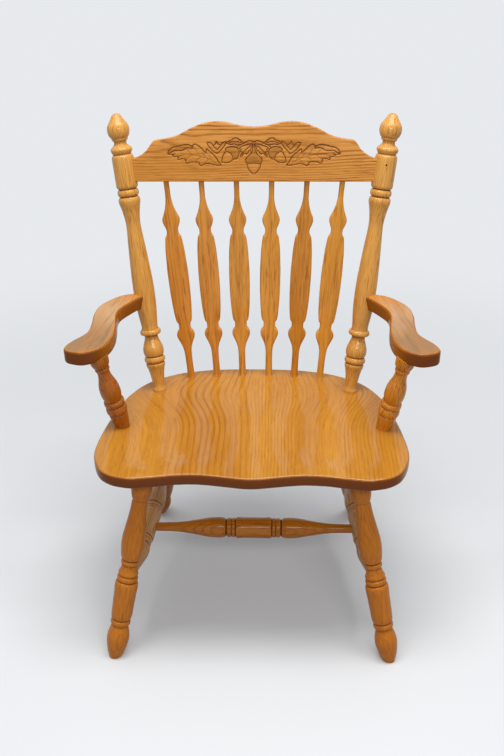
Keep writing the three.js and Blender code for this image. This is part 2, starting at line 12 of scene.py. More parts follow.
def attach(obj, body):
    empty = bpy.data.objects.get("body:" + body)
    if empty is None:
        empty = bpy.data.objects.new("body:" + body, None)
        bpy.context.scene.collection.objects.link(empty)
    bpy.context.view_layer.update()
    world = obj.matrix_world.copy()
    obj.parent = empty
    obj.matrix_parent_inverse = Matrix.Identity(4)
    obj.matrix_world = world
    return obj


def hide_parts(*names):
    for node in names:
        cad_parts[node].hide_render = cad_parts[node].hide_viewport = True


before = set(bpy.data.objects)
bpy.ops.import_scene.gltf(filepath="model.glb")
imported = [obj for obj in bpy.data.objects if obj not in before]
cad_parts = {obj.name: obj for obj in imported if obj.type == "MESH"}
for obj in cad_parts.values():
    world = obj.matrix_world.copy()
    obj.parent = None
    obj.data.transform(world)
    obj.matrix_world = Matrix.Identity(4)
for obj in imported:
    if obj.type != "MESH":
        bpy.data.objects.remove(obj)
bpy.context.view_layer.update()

# Camera
# It stands 1.8 m in front of the chair's middle, a little to the right, and looks down at the
# seat. Its place is in metres, and its yaw turns it toward the left.
camera_place = Vector((0.0622, -1.7993, 1.4866))
camera_pitch = math.radians(28.3)
camera_yaw = math.radians(-2.045)
camera_roll = math.radians(-0.598)
ahead = Vector((
    math.sin(camera_yaw) * math.cos(camera_pitch),
    math.cos(camera_yaw) * math.cos(camera_pitch),
    -math.sin(camera_pitch),
))
level_right = Vector((math.cos(camera_yaw), -math.sin(camera_yaw), 0))
level_up = level_right.cross(ahead)
camera_right = level_right * math.cos(camera_roll) + level_up * math.sin(camera_roll)
camera_up = level_up * math.cos(camera_roll) - level_right * math.sin(camera_roll)
camera_data = bpy.data.cameras.new("camera")
camera_data.lens = 47.62
camera_data.sensor_width = 36
camera = bpy.data.objects.new("camera", camera_data)
camera.matrix_world = Matrix.Translation(camera_place) @ Matrix(
    (camera_right, camera_up, -ahead)
).transposed().to_4x4()
bpy.context.scene.collection.objects.link(camera)
bpy.context.scene.camera = camera

# Light and floor
# A soft panel over the front of the chair, a weaker one before it, and a pale room and floor,
# which look brighter to the camera than they light the chair.
bpy.context.scene.view_settings.view_transform = "Standard"


def add_node(tree, kind, inputs=(), **settings):
    node = tree.nodes.new("ShaderNode" + kind)
    for key, value in settings.items():
        setattr(node, key, value)
    for key, value in (inputs.items() if isinstance(inputs, dict) else enumerate(inputs)):
        if isinstance(value, bpy.types.NodeSocket):
            tree.links.new(value, node.inputs[key])
        else:
            node.inputs[key].default_value = value
    return node


def add_math(tree, operation, *values):
    return add_node(tree, "Math", values, operation=operation).outputs[0]


room = bpy.data.worlds.new("room")
room.use_nodes = True
room_tree = room.node_tree
room_tree.nodes.clear()


def seen_ray(tree):
    # 1 for the rays that show the background: straight, mirrored and through glass
    ray = add_node(tree, "LightPath").outputs
    mirrored = add_math(tree, "MAXIMUM", ray["Is Glossy Ray"], ray["Is Transmission Ray"])
    return add_math(tree, "MAXIMUM", ray["Is Camera Ray"], mirrored)


pale = (0.80, 0.82, 0.85, 1)
room_light = add_node(room_tree, "Background", {"Color": (0.94, 0.97, 1, 1), "Strength": 0.55})
room_look = add_node(room_tree, "Background", {"Color": pale, "Strength": 1})
room_mix = add_node(
    room_tree, "MixShader", (seen_ray(room_tree), room_light.outputs[0], room_look.outputs[0]),
)
add_node(room_tree, "OutputWorld", (room_mix.outputs[0],))
bpy.context.scene.world = room

lamps = (
    # name, power in watts, width and depth in metres, place, aimed at
    ("ceiling_lamp", 47, 2.0, 0.7, (0.05, -0.3, 2.7), (0, 0, 0.4)),
    ("front_lamp", 20, 1.6, 0.35, (0.35, -2.2, 2.1), (0, 0, 0.6)),
)
for name, power, width, depth, place, aim in lamps:
    lamp_data = bpy.data.lights.new(name, "AREA")
    lamp_data.shape = "RECTANGLE"
    lamp_data.energy = power
    lamp_data.size = width
    lamp_data.size_y = depth
    lamp = bpy.data.objects.new(name, lamp_data)
    lamp.location = place
    lamp.rotation_euler = (Vector(aim) - Vector(place)).to_track_quat("-Z", "Y").to_euler()
    bpy.context.scene.collection.objects.link(lamp)

floor_paint = bpy.data.materials.new("floor_paint")
floor_paint.use_nodes = True
floor_tree = floor_paint.node_tree
floor_tree.nodes.clear()
floor_spot = add_node(floor_tree, "TexCoord").outputs["Object"]
away = add_node(floor_tree, "VectorMath", (floor_spot,), operation="LENGTH").outputs["Value"]
far_share = add_node(
    floor_tree, "MapRange", {"Value": away, "From Min": 0.5, "From Max": 2.1},
    interpolation_type="SMOOTHSTEP",
).outputs[0]
near_floor = add_node(floor_tree, "BsdfDiffuse", ((0.72, 0.73, 0.74, 1),)).outputs[0]
far_floor = add_node(floor_tree, "Emission", (pale, 1)).outputs[0]
floor_look = add_node(floor_tree, "MixShader", (far_share, near_floor, far_floor)).outputs[0]
floor_bounce = add_node(floor_tree, "BsdfDiffuse", ((0.3, 0.3, 0.3, 1),)).outputs[0]
floor_mix = add_node(floor_tree, "MixShader", (seen_ray(floor_tree), floor_bounce, floor_look))
add_node(floor_tree, "OutputMaterial", (floor_mix.outputs[0],))
floor_bm = bmesh.new()
bmesh.ops.create_circle(floor_bm, cap_ends=True, segments=64, radius=14)
floor_mesh = bpy.data.meshes.new("floor")
floor_bm.to_mesh(floor_mesh)
floor_bm.free()
floor_mesh.materials.append(floor_paint)
floor = bpy.data.objects.new("floor", floor_mesh)
bpy.context.scene.collection.objects.link(floor)

# Seat
# Boards of oak glued edge to edge with the grain from front to back, sawn to a waved outline,
# hollowed for the sitter on a pattern sander, rounded along the top and bevelled underneath.
frame_shift_y = -44.29  # from the drawing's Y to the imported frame's
rim_height = 436
seat_front_y = -205.5
seat_back_y = 241
underside_height = 404
hollow_depth = 8
hollow_share = 0.94  # how far out the hollow reaches
ridge_rise = 5
ridge_half_width = 60
seat_half_outline = [
    (0, 241), (30, 240.4), (60, 239.5), (100, 236), (124, 231), (145, 226), (170, 217.5),
    (210, 195), (229, 180), (251, 152.5), (263, 130), (273, 108), (286, 58), (296, 11), (302, -28),
    (306.5, -68), (308, -103), (304.5, -130), (295, -160), (285, -178), (272, -190), (260, -197),
    (244, -202), (225, -205.3), (207, -203), (188, -200), (170, -197), (151, -193), (132, -191),
    (113, -190), (95, -190.5), (76, -193), (57, -196), (38, -199.5), (18, -202.8), (0, -204.2),
]


def spot(x, y, z):
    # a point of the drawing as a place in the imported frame
    return Vector((x, y + frame_shift_y, z)) / 1000


def between(p0, p1, p2, p3, share):
    # a point of the centripetal curve from p1 to p2
    knots = [0.0]
    for a, b in ((p0, p1), (p1, p2), (p2, p3)):
        knots.append(knots[-1] + max((b - a).length, 1e-9) ** 0.5)
    t0, t1, t2, t3 = knots
    t = t1 + (t2 - t1) * share
    a1 = p0.lerp(p1, (t - t0) / (t1 - t0))
    a2 = p1.lerp(p2, (t - t1) / (t2 - t1))
    a3 = p2.lerp(p3, (t - t2) / (t3 - t2))
    b1 = a1.lerp(a2, (t - t0) / (t2 - t0))
    b2 = a2.lerp(a3, (t - t1) / (t3 - t1))
    return b1.lerp(b2, (t - t1) / (t2 - t1))


def flowing(points, steps, closed=False):
    # a smooth line through the points, with a corner where a point is given twice
    points = [Vector(p) for p in points]
    count = len(points)
    line = []
    for i in range(count if closed else count - 1):
        p1, p2 = points[i], points[(i + 1) % count]
        if (p2 - p1).length < 1e-6:
            continue
        p0 = points[i - 1] if closed or i > 0 else p1
        p3 = points[(i + 2) % count] if closed or i + 2 < count else p2
        if (p1 - p0).length < 1e-6:
            p0 = p1 * 2 - p2
        if (p3 - p2).length < 1e-6:
            p3 = p2 * 2 - p1
        line += [between(p0, p1, p2, p3, k / steps) for k in range(steps)]
    return line if closed else line + [points[-1]]


def ring_inset(ring, distance):
    # a closed counterclockwise outline moved inward
    count = len(ring)
    moved = []
    for i, point in enumerate(ring):
        along = (ring[(i + 1) % count] - ring[i - 1]).normalized()
        moved.append(Vector((point.x - along.y * distance, point.y + along.x * distance)))
    return moved


def ring_edges(bm, ring):
    return [bm.edges.get(pair) for pair in zip(ring, ring[1:] + ring[:1])]


def grow_ring(bm, ring, places):
    # extrudes a closed ring of vertices and puts the new ring in place
    made = bmesh.ops.extrude_edge_only(bm, edges=ring_edges(bm, ring))["geom"]
    fresh = {v for v in made if isinstance(v, bmesh.types.BMVert)}
    grown = []
    for vertex, place in zip(ring, places):
        neighbours = [e.other_vert(vertex) for e in vertex.link_edges]
        twin = next(v for v in neighbours if v in fresh)
        twin.co = place
        grown.append(twin)
    return grown


def close_ring(bm, ring):
    bmesh.ops.contextual_create(bm, geom=ring_edges(bm, ring))


def stack_rings(bm, rings):
    # a closed skin over rings of places that lie one above the other
    ring = bmesh.ops.create_circle(bm, segments=len(rings[0]), radius=1)["verts"]
    for vertex, place in zip(ring, rings[0]):
        vertex.co = place
    close_ring(bm, ring)
    for places in rings[1:]:
        ring = grow_ring(bm, ring, places)
    close_ring(bm, ring)


def finish_piece(bm, name, node, material, crease=32):
    # merges doubles, turns the faces outward and hands the piece to the frame
    bmesh.ops.remove_doubles(bm, verts=bm.verts, dist=1e-6)
    bmesh.ops.recalc_face_normals(bm, faces=bm.faces)
    mesh = bpy.data.meshes.new(name)
    bm.to_mesh(mesh)
    bm.free()
    mesh.shade_smooth()
    mesh.set_sharp_from_angle(angle=math.radians(crease))
    mesh.materials.append(material)
    piece = bpy.data.objects.new(name, mesh)
    bpy.context.scene.collection.objects.link(piece)
    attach(piece, "root")
    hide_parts(node)


def add_vector(tree, operation, *values, output="Vector"):
    return add_node(tree, "VectorMath", values, operation=operation).outputs[output]


def ranged(tree, value, low, high, start=0.0, end=1.0):
    # carries low to start and high to end, and goes no further
    return add_node(tree, "MapRange", {
        "Value": value, "From Min": low, "From Max": high, "To Min": start, "To Max": end,
    }).outputs[0]


def blend(tree, share, first, second):
    # sockets 0, 6 and 7 of a Mix node are its share and its two colours
    colours = [c if isinstance(c, bpy.types.NodeSocket) else (*c, 1) for c in (first, second)]
    inputs = {0: share, 6: colours[0], 7: colours[1]}
    return add_node(tree, "Mix", inputs, data_type="RGBA").outputs[2]


def board_values(tree, across, boards):
    # each column of the table of boards as one value, stepped at the glued edges
    edges, *columns = zip(*boards)
    over = [add_math(tree, "GREATER_THAN", across, edge) for edge in edges[:-1]]
    stepped = []
    for column in columns:
        total = column[0]
        for step, before, after in zip(over, column, column[1:]):
            total = add_math(tree, "MULTIPLY_ADD", step, after - before, total)
        stepped.append(total)
    return stepped


def swollen(tree, across, along, bulge):
    # widens the figure, as where a hollow cuts down through the rings
    middle, place, reach, swell = bulge
    off = add_math(tree, "DIVIDE", add_math(tree, "SUBTRACT", along, place), reach)
    fall = add_math(tree, "MULTIPLY", add_math(tree, "MULTIPLY", off, off), -1)
    shrink = add_math(tree, "MULTIPLY_ADD", add_math(tree, "EXPONENT", fall), -swell, 1)
    from_middle = add_math(tree, "SUBTRACT", across, middle)
    return add_math(tree, "MULTIPLY_ADD", from_middle, shrink, middle)


# share of the way from one growth line to the next, how dark and open the wood is there
year_levels = ((0, 0.9), (0.07, 1), (0.2, 0.55), (0.38, 0.12), (0.6, 0), (0.9, 0.12), (1, 0.9))
pore_stain = (0.13, 0.04, 0.006)
# the colour of stained end grain, and of the painted shade on upright sides
end_grain_stain_and_shade = (0.15, 0.033, 0.003)
dark_groove = (0.13, 0.034, 0.003)
bare_wood = (0.46, 0.3, 0.17)
handled_wood = (0.26, 0.155, 0.08)
soiled_wood = (0.17, 0.1, 0.055)


def oak(name, grain, heart=None, ring_width=None, seed=0, golden=(0.56, 0.215, 0.02),
        brown=(0.27, 0.08, 0.008), waviness=1.0, contrast=1.0, flecks=1.0, coat=0.5,
        boards=None, bulge=None, end_stain_and_side_shade=0.0, worn=None):
    # Golden oak under an amber lacquer. grain is the matrix whose Z runs along the grain. heart is
    # where the log's middle lies beside it and ring_width how far its rings are apart, in metres.
    # The end-grain argument sets the stain that the end grain takes and the painted shade on the
    # upright sides; worn is how far forward of the grain's start the rubbed top begins and ends to
    # be soiled.
    material = bpy.data.materials.new(name)
    material.use_nodes = True
    tree = material.node_tree
    shader = tree.nodes["Principled BSDF"]
    coords = add_node(tree, "TexCoord").outputs["Object"]
    mapped = add_node(
        tree, "Mapping",
        {"Vector": coords, "Location": grain.translation, "Rotation": grain.to_euler()},
        vector_type="TEXTURE",
    ).outputs[0]
    parts = add_node(tree, "SeparateXYZ", (mapped,)).outputs
    across, deep, along = parts[0], parts[1], parts[2]
    if bulge:
        across = swollen(tree, across, along, bulge)
    if boards:
        heart_across, heart_deep, spacing, lines = board_values(tree, parts[0], boards)
        # moves every board to a stretch of grain of its own
        along = add_math(tree, "MULTIPLY_ADD", lines, 5, along)
    else:
        (heart_across, heart_deep), spacing, lines = heart, ring_width, contrast
    wood = add_node(tree, "CombineXYZ", (across, deep, along)).outputs[0]

    def calc(operation, *values):
        return add_math(tree, operation, *values)

    def noise(scale, detail=2):
        # scale is how many spots there are to the metre, across the grain and along it
        scaled = add_vector(tree, "MULTIPLY", wood, (scale[0], scale[0], scale[1]))
        moved = add_vector(tree, "ADD", scaled, (seed * 3.7, seed * 1.3, seed * 5.1))
        return add_node(tree, "TexNoise", {"Vector": moved, "Scale": 1, "Detail": detail}).outputs

    def patches(scale, low, high, start=0.0, end=1.0, detail=2):
        return ranged(tree, noise(scale, detail)[0], low, high, start, end)

    # growth rings round the heart, bent by the tree's own waves
    bent = wood
    for scale, reach in (((7, 2.4), 0.026 * waviness), ((55, 11), 0.0032 * waviness)):
        centred = add_vector(tree, "SUBTRACT", noise(scale)["Color"], (0.5, 0.5, 0.5))
        push = add_vector(tree, "MULTIPLY", centred, (reach, reach, 0))
        bent = add_vector(tree, "ADD", bent, push)
    centre = add_node(tree, "CombineXYZ", (heart_across, heart_deep, 0)).outputs[0]
    from_heart = add_vector(tree, "SUBTRACT", bent, centre)
    flat = add_vector(tree, "MULTIPLY", from_heart, (1, 1, 0))
    radius = add_vector(tree, "LENGTH", flat, output="Value")
    growth = calc("FRACT", calc("DIVIDE", radius, spacing))
    year = add_node(tree, "ValToRGB", (growth,))
    bands = year.color_ramp.elements
    for position, _ in year_levels[1:-1]:
        bands.new(position)
    for band, (_, level) in zip(bands, year_levels):
        band.color = (level, level, level, 1)
    early = year.outputs[0]

    # rings, fibres and flecks darken the stained ground, and pores most of all
    fading = patches((16, 2.6), 0.32, 0.66, 0.3, 1.0)
    ring_share = calc("MULTIPLY", calc("MULTIPLY", early, fading), calc("MULTIPLY", lines, 0.62))
    fibre = patches((380, 10), 0.36, 0.74, 0.0, 0.34, detail=3)
    fleck = patches((330, 26), 0.53, 0.68, 0.0, 0.42 * flecks, detail=1)
    fleck = calc("MULTIPLY", fleck, patches((38, 7), 0.35, 0.6, 0.25, 1.0))
    dark_share = calc("ADD", calc("ADD", ring_share, fibre), fleck)
    pale_wood = tuple(min(1, c * m) for c, m in zip(golden, (1.2, 1.32, 1.9)))
    ground = blend(tree, patches((13, 1.9), 0.34, 0.68), golden, pale_wood)
    colour = blend(tree, dark_share, ground, brown)
    pore = patches((1300, 42), 0.56, 0.7)
    pore_share = calc("MULTIPLY", pore, calc("MULTIPLY_ADD", early, 0.42, 0.14))
    colour = blend(tree, pore_share, colour, pore_stain)
    gloss = patches((30, 12), 0.3, 0.7, 0.3, 0.42)
    normal = add_node(tree, "NewGeometry").outputs["Normal"]
    facing_up = add_node(tree, "SeparateXYZ", (normal,)).outputs[2]
    stain_and_shade = add_node(tree, "Attribute", attribute_name="stain_and_shade").outputs["Fac"]
    lacquer = calc("MULTIPLY_ADD", stain_and_shade, -coat, coat)

    if end_stain_and_side_shade:
        # end grain drinks more stain, and every upright side and rounded rim is painted darker as
        # shade, half as dark where the grain runs along it, and keeps less lacquer
        grain_way = tuple(grain.to_3x3() @ Vector((0, 0, 1)))
        toward_end = add_vector(tree, "DOT_PRODUCT", normal, grain_way, output="Value")
        facing_end = calc("ABSOLUTE", toward_end)
        rim = (0.985, 0.8) if worn else (0.93, 0.5)
        drunk = ranged(tree, facing_end, 0.15, 0.8, end_stain_and_side_shade * 0.5, end_stain_and_side_shade)
        soaked_and_shaded = calc("MULTIPLY", ranged(tree, facing_up, *rim), drunk)
        colour = blend(tree, soaked_and_shaded, colour, end_grain_stain_and_shade)
        lacquer = calc("MULTIPLY", lacquer, ranged(tree, soaked_and_shaded, 0, 1, 1.0, 0.3))
    if worn:
        # hands rub the level top bare, and soil it toward the front
        drift = 0.16
        forward = calc("MULTIPLY", parts[2], -1)
        drifting = calc("MULTIPLY_ADD", noise((18, 8))[0], drift, forward)
        handled = ranged(tree, drifting, worn[0] + drift / 2, worn[1] + drift / 2)
        rubbed = patches((26, 11), 0.36, 0.62, 0.6, 1.0, detail=4)
        sheltered = ranged(tree, forward, 0.02, 0.08, 0.1, 0.9)
        level = ranged(tree, facing_up, 0.9, 0.985)
        wear = calc("MULTIPLY", level, calc("MULTIPLY", rubbed, sheltered))
        bare = blend(tree, handled, bare_wood, handled_wood)
        bare = blend(tree, patches((110, 13), 0.5, 0.68, 0.0, 0.6, detail=3), bare, soiled_wood)
        colour = blend(tree, wear, colour, bare)
        gloss = calc("MULTIPLY_ADD", wear, 0.2, gloss)
        lacquer = calc("MULTIPLY", lacquer, ranged(tree, wear, 0, 1, 1.0, 0.35))

    # darker in the lathe's grooves, the brad's hole and the carving: stain in the carved lines and
    # a painted shade inside the carved forms beside them
    tree.links.new(blend(tree, stain_and_shade, colour, dark_groove), shader.inputs["Base Color"])
    tree.links.new(gloss, shader.inputs["Roughness"])
    tree.links.new(lacquer, shader.inputs["Coat Weight"])
    shader.inputs["Specular IOR Level"].default_value = 0.05
    shader.inputs["Coat Roughness"].default_value = 0.08
    rise = calc("MULTIPLY_ADD", pore_share, -1, calc("MULTIPLY", growth, 0.1))
    bump = add_node(tree, "Bump", {"Height": rise, "Strength": 0.2, "Distance": 0.0004})
    tree.links.new(bump.outputs[0], shader.inputs["Normal"])
    return material


seat_place = Matrix.Translation(spot(0, -frame_shift_y, rim_height))
seat_grain = seat_place @ Matrix.Rotation(math.radians(90), 4, "X")
seat_boards = (
    # right edge, heart across and deep, ring spacing in metres, strength of the lines
    (-0.163, -0.235, -0.085, 0.0170, 0.26),
    (-0.006, -0.215, -0.050, 0.0112, 0.98),
    (0.087, -0.140, -0.030, 0.0064, 0.85),
    (0.181, 0.200, -0.075, 0.0084, 0.36),
    (0.400, 0.100, -0.040, 0.0076, 0.6),
)
seat_bulge = (0.03, -0.09, 0.085, 0.24)  # middle across, place along, reach, strength
# the seat's front band and other upright edges carry stain on the end grain and painted shade
seat_oak = oak(
    "seat_oak_finish", seat_grain, seed=2, golden=(0.46, 0.184, 0.015), waviness=0.85,
    flecks=0.4, coat=0.6, boards=seat_boards, bulge=seat_bulge, end_stain_and_side_shade=0.96,
)
seat_other_half = [(-x, y) for x, y in reversed(seat_half_outline[1:-1])]
seat_outline = flowing(seat_half_outline + seat_other_half, steps=6, closed=True)[::-1]
seat_middle = Vector((0, (seat_front_y + seat_back_y) / 2))
seat_top_inset = 7.2  # where the top begins, inside the rounded edge


def seat_top(point, share):
    hollow = (1 - min(share / hollow_share, 1) ** 4) ** 2
    forward = 1 - (point.y - seat_front_y) / (seat_back_y - seat_front_y)
    ridge = math.exp(-((point.x / ridge_half_width) ** 2)) * forward * ridge_rise
    return spot(point.x, point.y, rim_height - hollow * (hollow_depth - ridge))


seat_edge_steps = (
    # inset, height
    (44, 404), (27.5, 404), (26, 404.1), (24, 404.6), (5.6, 410.3), (3.2, 411.4), (1.4, 413.1),
    (0.3, 415.4), (0, 418), (0, 429.6), (0.35, 431.6), (1.1, 433.4), (2.3, 434.7), (3.8, 435.6),
    (5.4, 435.95),
)
# the top's rings, as shares of the way out from its middle
seat_shares = [1, 0.985, 0.965] + [0.94 - 0.04 * k for k in range(23)] + [0.03]
seat_top_loop = ring_inset(seat_outline, seat_top_inset)
seat_rings = [
    [spot(p.x, p.y, height) for p in ring_inset(seat_outline, inset)]
    for inset, height in seat_edge_steps
]
for share in seat_shares:
    seat_rings.append([seat_top(seat_middle.lerp(p, share), share) for p in seat_top_loop])
seat_bm = bmesh.new()
stack_rings(seat_bm, seat_rings)
finish_piece(seat_bm, "saddle_seat", "seat", seat_oak)

# Legs
# Four turned oak legs, each in one piece from foot to tenon: a bulb over a small foot, a plain
# length between beads, a vase and a cup. The tenon is glued in a blind hole under the seat.
lower_leg = [
    # distance from the floor, radius; a point given twice is a crisp corner
    (-30, 9), (0, 12.3), (4, 14.1), (11.7, 17), (20, 19.2), (30, 21.2), (43.7, 22.8),
    (56, 21.8), (67, 19), (73, 17.4), (75.9, 17), (75.9, 17), (78.2, 19.4), (82.5, 20.4),
    (87, 19.4), (89.5, 17.2), (89.5, 17.2), (92.4, 20.2),
]
plain_length = [(0.35, 21.9), (0.65, 22.6), (0.98, 22.7)]  # shares of its length, radius
leg_beads = [
    # distance from the end of the plain length, radius
    (2.7, 18.8), (2.7, 18.8), (5, 20.6), (8.7, 21.3), (12.4, 20.6), (14.9, 18), (14.9, 18),
    (17.2, 19.8), (20.4, 20.2), (23.6, 19), (27, 17.4), (31.5, 16.2), (36, 15.7), (38.2, 14.6),
    (38.2, 14.6), (40.6, 17.2), (44.4, 18.2), (48, 17.2), (50.2, 15.2), (50.2, 15.2),
    (53.4, 18.6),
]
leg_vase = [(0.12, 22), (0.25, 23.5), (0.37, 23.1), (0.53, 20.6), (0.83, 16.3), (0.965, 15.5)]
leg_cup = [(0, 14.5), (0, 14.5), (3.8, 16.6), (17.8, 20), (38, 21.8), (58.8, 22.4), (90, 22.5)]
sides = (("left", -1), ("right", 1))  # the viewer's, and the way of X
cup_length = 62
beads_length = 54
lower_length = 93.6
leg_kinds = {
    # where the axis meets the underside, splay and rake in degrees, plain length
    "front": ((207.4, -129.8), 10.6, -11.3, 81),
    "rear": ((166.8, 117.3), 11.1, 24.5, 156),
}


def leaning(side, splay, rake):
    outward = math.tan(math.radians(splay))
    backward = math.tan(math.radians(rake))
    return Vector((side * outward, backward, 1)).normalized()


def axis_matrix(foot, upward):
    # stands an upright turning on its foot, with its Z along the axis
    turn = Vector((0, 0, 1)).rotation_difference(upward).to_matrix().to_4x4()
    return Matrix.Translation(spot(*foot)) @ turn


def groove_depths(alongs, radii):
    # how far each place of a profile lies under its surroundings
    sample, window = 0.5, 10  # samples in millimetres, and how many to either side
    even = np.arange(alongs[0], alongs[-1], sample)
    level = np.interp(even, alongs, radii)
    span = 2 * window + 1
    around = np.convolve(np.pad(level, window, mode="edge"), np.ones(span) / span, mode="valid")
    return np.interp(alongs, even, around - level)


def turn_on_lathe(profile, matrix, facets=72, steps=5, groove_darkening=1.0):
    # spins a profile of (distance along the axis, radius), and darkens its grooves, the more the
    # deeper they lie; grooves shallower than 0.35 mm keep their colour, and none gets darker than
    # darkest
    least_radius, plain_depth, full_depth, darkest = 0.05, 0.35, 2.75, 0.88
    line = flowing(profile, steps)
    alongs = np.array([p.x for p in line])
    radii = np.array([max(p.y, least_radius) for p in line])
    depths = groove_depths(alongs, radii)
    bm = bmesh.new()
    stain_and_shade = bm.verts.layers.float.new("stain_and_shade")
    stations = [(alongs[0], 0, 0)] + list(zip(alongs, radii, depths)) + [(alongs[-1], 0, 0)]
    vertices = []
    for along, radius, depth in stations:
        vertex = bm.verts.new(Vector((radius, 0, along)) / 1000)
        groove_share = max((depth - plain_depth) / (full_depth - plain_depth), 0)
        vertex[stain_and_shade] = min(groove_share * groove_darkening, darkest)
        vertices.append(vertex)
    edges = [bm.edges.new(pair) for pair in zip(vertices, vertices[1:])]
    bmesh.ops.spin(
        bm, geom=vertices + edges, cent=(0, 0, 0), axis=(0, 0, 1), angle=math.tau, steps=facets,
        use_merge=True,
    )
    bmesh.ops.remove_doubles(bm, verts=bm.verts, dist=1e-6)
    bmesh.ops.transform(bm, matrix=matrix, verts=bm.verts)
    return bm


def trim_level(bm, height, upper):
    # cuts off what lies over (or under) a height, and closes the cut
    cut = bmesh.ops.bisect_plane(
        bm, geom=list(bm.verts) + list(bm.edges) + list(bm.faces), dist=1e-7,
        plane_co=(0, 0, height / 1000), plane_no=(0, 0, 1), clear_outer=upper,
        clear_inner=not upper,
    )["geom_cut"]
    rim = [e for e in cut if isinstance(e, bmesh.types.BMEdge)]
    bmesh.ops.contextual_create(bm, geom=rim)


def leg_axis(kind, side):
    (head_x, head_y), splay, rake, plain = leg_kinds[kind]
    downward = leaning(side, splay, rake)
    downward.z *= -1
    length = underside_height / -downward.z
    foot = Vector((side * head_x, head_y, underside_height)) + downward * length
    return foot, -downward, length, plain


for kind in leg_kinds:
    for side_name, side in sides:
        foot, upward, length, plain = leg_axis(kind, side)
        beads_start = lower_length + plain
        vase_start = beads_start + beads_length
        vase_length = length - cup_length - vase_start
        profile = (
            lower_leg
            + [(lower_length + share * plain, radius) for share, radius in plain_length]
            + [(beads_start + along, radius) for along, radius in leg_beads]
            + [(vase_start + share * vase_length, radius) for share, radius in leg_vase]
            + [(length - cup_length + along, radius) for along, radius in leg_cup]
        )
        matrix = axis_matrix(foot, upward)
        leg_bm = turn_on_lathe(profile, matrix, groove_darkening=1.2)
        trim_level(leg_bm, 0, upper=False)
        trim_level(leg_bm, underside_height, upper=True)
        seed = 11 + 3 * side + (7 if kind == "rear" else 0)
        leg_oak = oak(
            f"leg_{kind}_{side_name}_oak", matrix, (0.012, 0.03 * side), 0.0034, seed=seed,
            golden=(0.52, 0.152, 0.006), brown=(0.21, 0.052, 0.003), waviness=0.5, contrast=0.35,
            flecks=0.6, coat=0.32,
        )
        finish_piece(
            leg_bm, f"turned_leg_{kind}_{side_name}", f"leg_{kind}_{side_name}",
            leg_oak,
        )

# Stretchers
# Three turned oak rails glued in the legs and in each other in the shape of an H: a plain barrel
# between pairs of beads, and a long vase that thins to a tenon at either end.
barrel_half = [
    # distance from the middle, radius
    (0, 22.3), (20, 22.3), (37.6, 22), (38.7, 18.6), (38.7, 18.6), (40.6, 20.4), (44, 21),
    (46.6, 20.2), (47.8, 18.8), (47.8, 18.8), (49, 20.2), (52.4, 21), (56.4, 20.2), (59.2, 16.6),
    (59.2, 16.6), (61.6, 19.8),
]
stretcher_vase = [
    # share of the way from the bead to the tenon, radius
    (0.035, 21.2), (0.075, 22.2), (0.125, 22.2), (0.17, 21.8), (0.225, 20.7), (0.28, 19.1),
    (0.34, 17.2), (0.405, 15.4), (0.47, 13.5), (0.535, 11.9), (0.6, 10.6), (0.665, 9.8),
    (0.82, 9.4), (1, 9.4),
]
bead_edge = 59.2
stretcher_end_gap = 2  # its profile ends this far before the axes that it joins
stretcher_heights = {"front": 147, "rear": 204}
centre_share = 0.462


def stretcher_point(kind, side):
    foot, upward, _, _ = leg_axis(kind, side)
    return foot + upward * (stretcher_heights[kind] / upward.z)


def make_stretcher(name, node, start, end, seed, heart, golden, brown, shift=0):
    # shift moves the barrel and its beads along, toward the end
    half_length = (end - start).length / 2 - stretcher_end_gap
    halves = []
    for way in (-1, 1):
        reach = half_length - way * shift - bead_edge
        vase = [(bead_edge + share * reach, radius) for share, radius in stretcher_vase]
        halves.append([(shift + way * along, radius) for along, radius in barrel_half + vase])
    profile = halves[0][:0:-1] + halves[1]
    matrix = axis_matrix((start + end) / 2, (end - start).normalized())
    finish = oak(
        f"{node}_oak", matrix, heart, 0.0036, seed=seed, golden=golden, brown=brown,
        waviness=0.8, contrast=0.75, coat=0.38,
    )
    finish_piece(
        turn_on_lathe(profile, matrix, groove_darkening=1.8), name, node, finish,
    )


side_middles = []
for side_name, side in sides:
    start, end = stretcher_point("front", side), stretcher_point("rear", side)
    side_middles.append(start.lerp(end, centre_share))
    make_stretcher(
        f"turned_side_stretcher_{side_name}", f"side_stretcher_{side_name}", start, end,
        31 + side, (0.03, 0.01), (0.58, 0.29, 0.09), (0.33, 0.13, 0.03), shift=-11,
    )
make_stretcher(
    "turned_center_stretcher", "center_stretcher", side_middles[0], side_middles[1], 35,
    (0.004, 0.026), (0.47, 0.145, 0.008), (0.2, 0.05, 0.003),
)

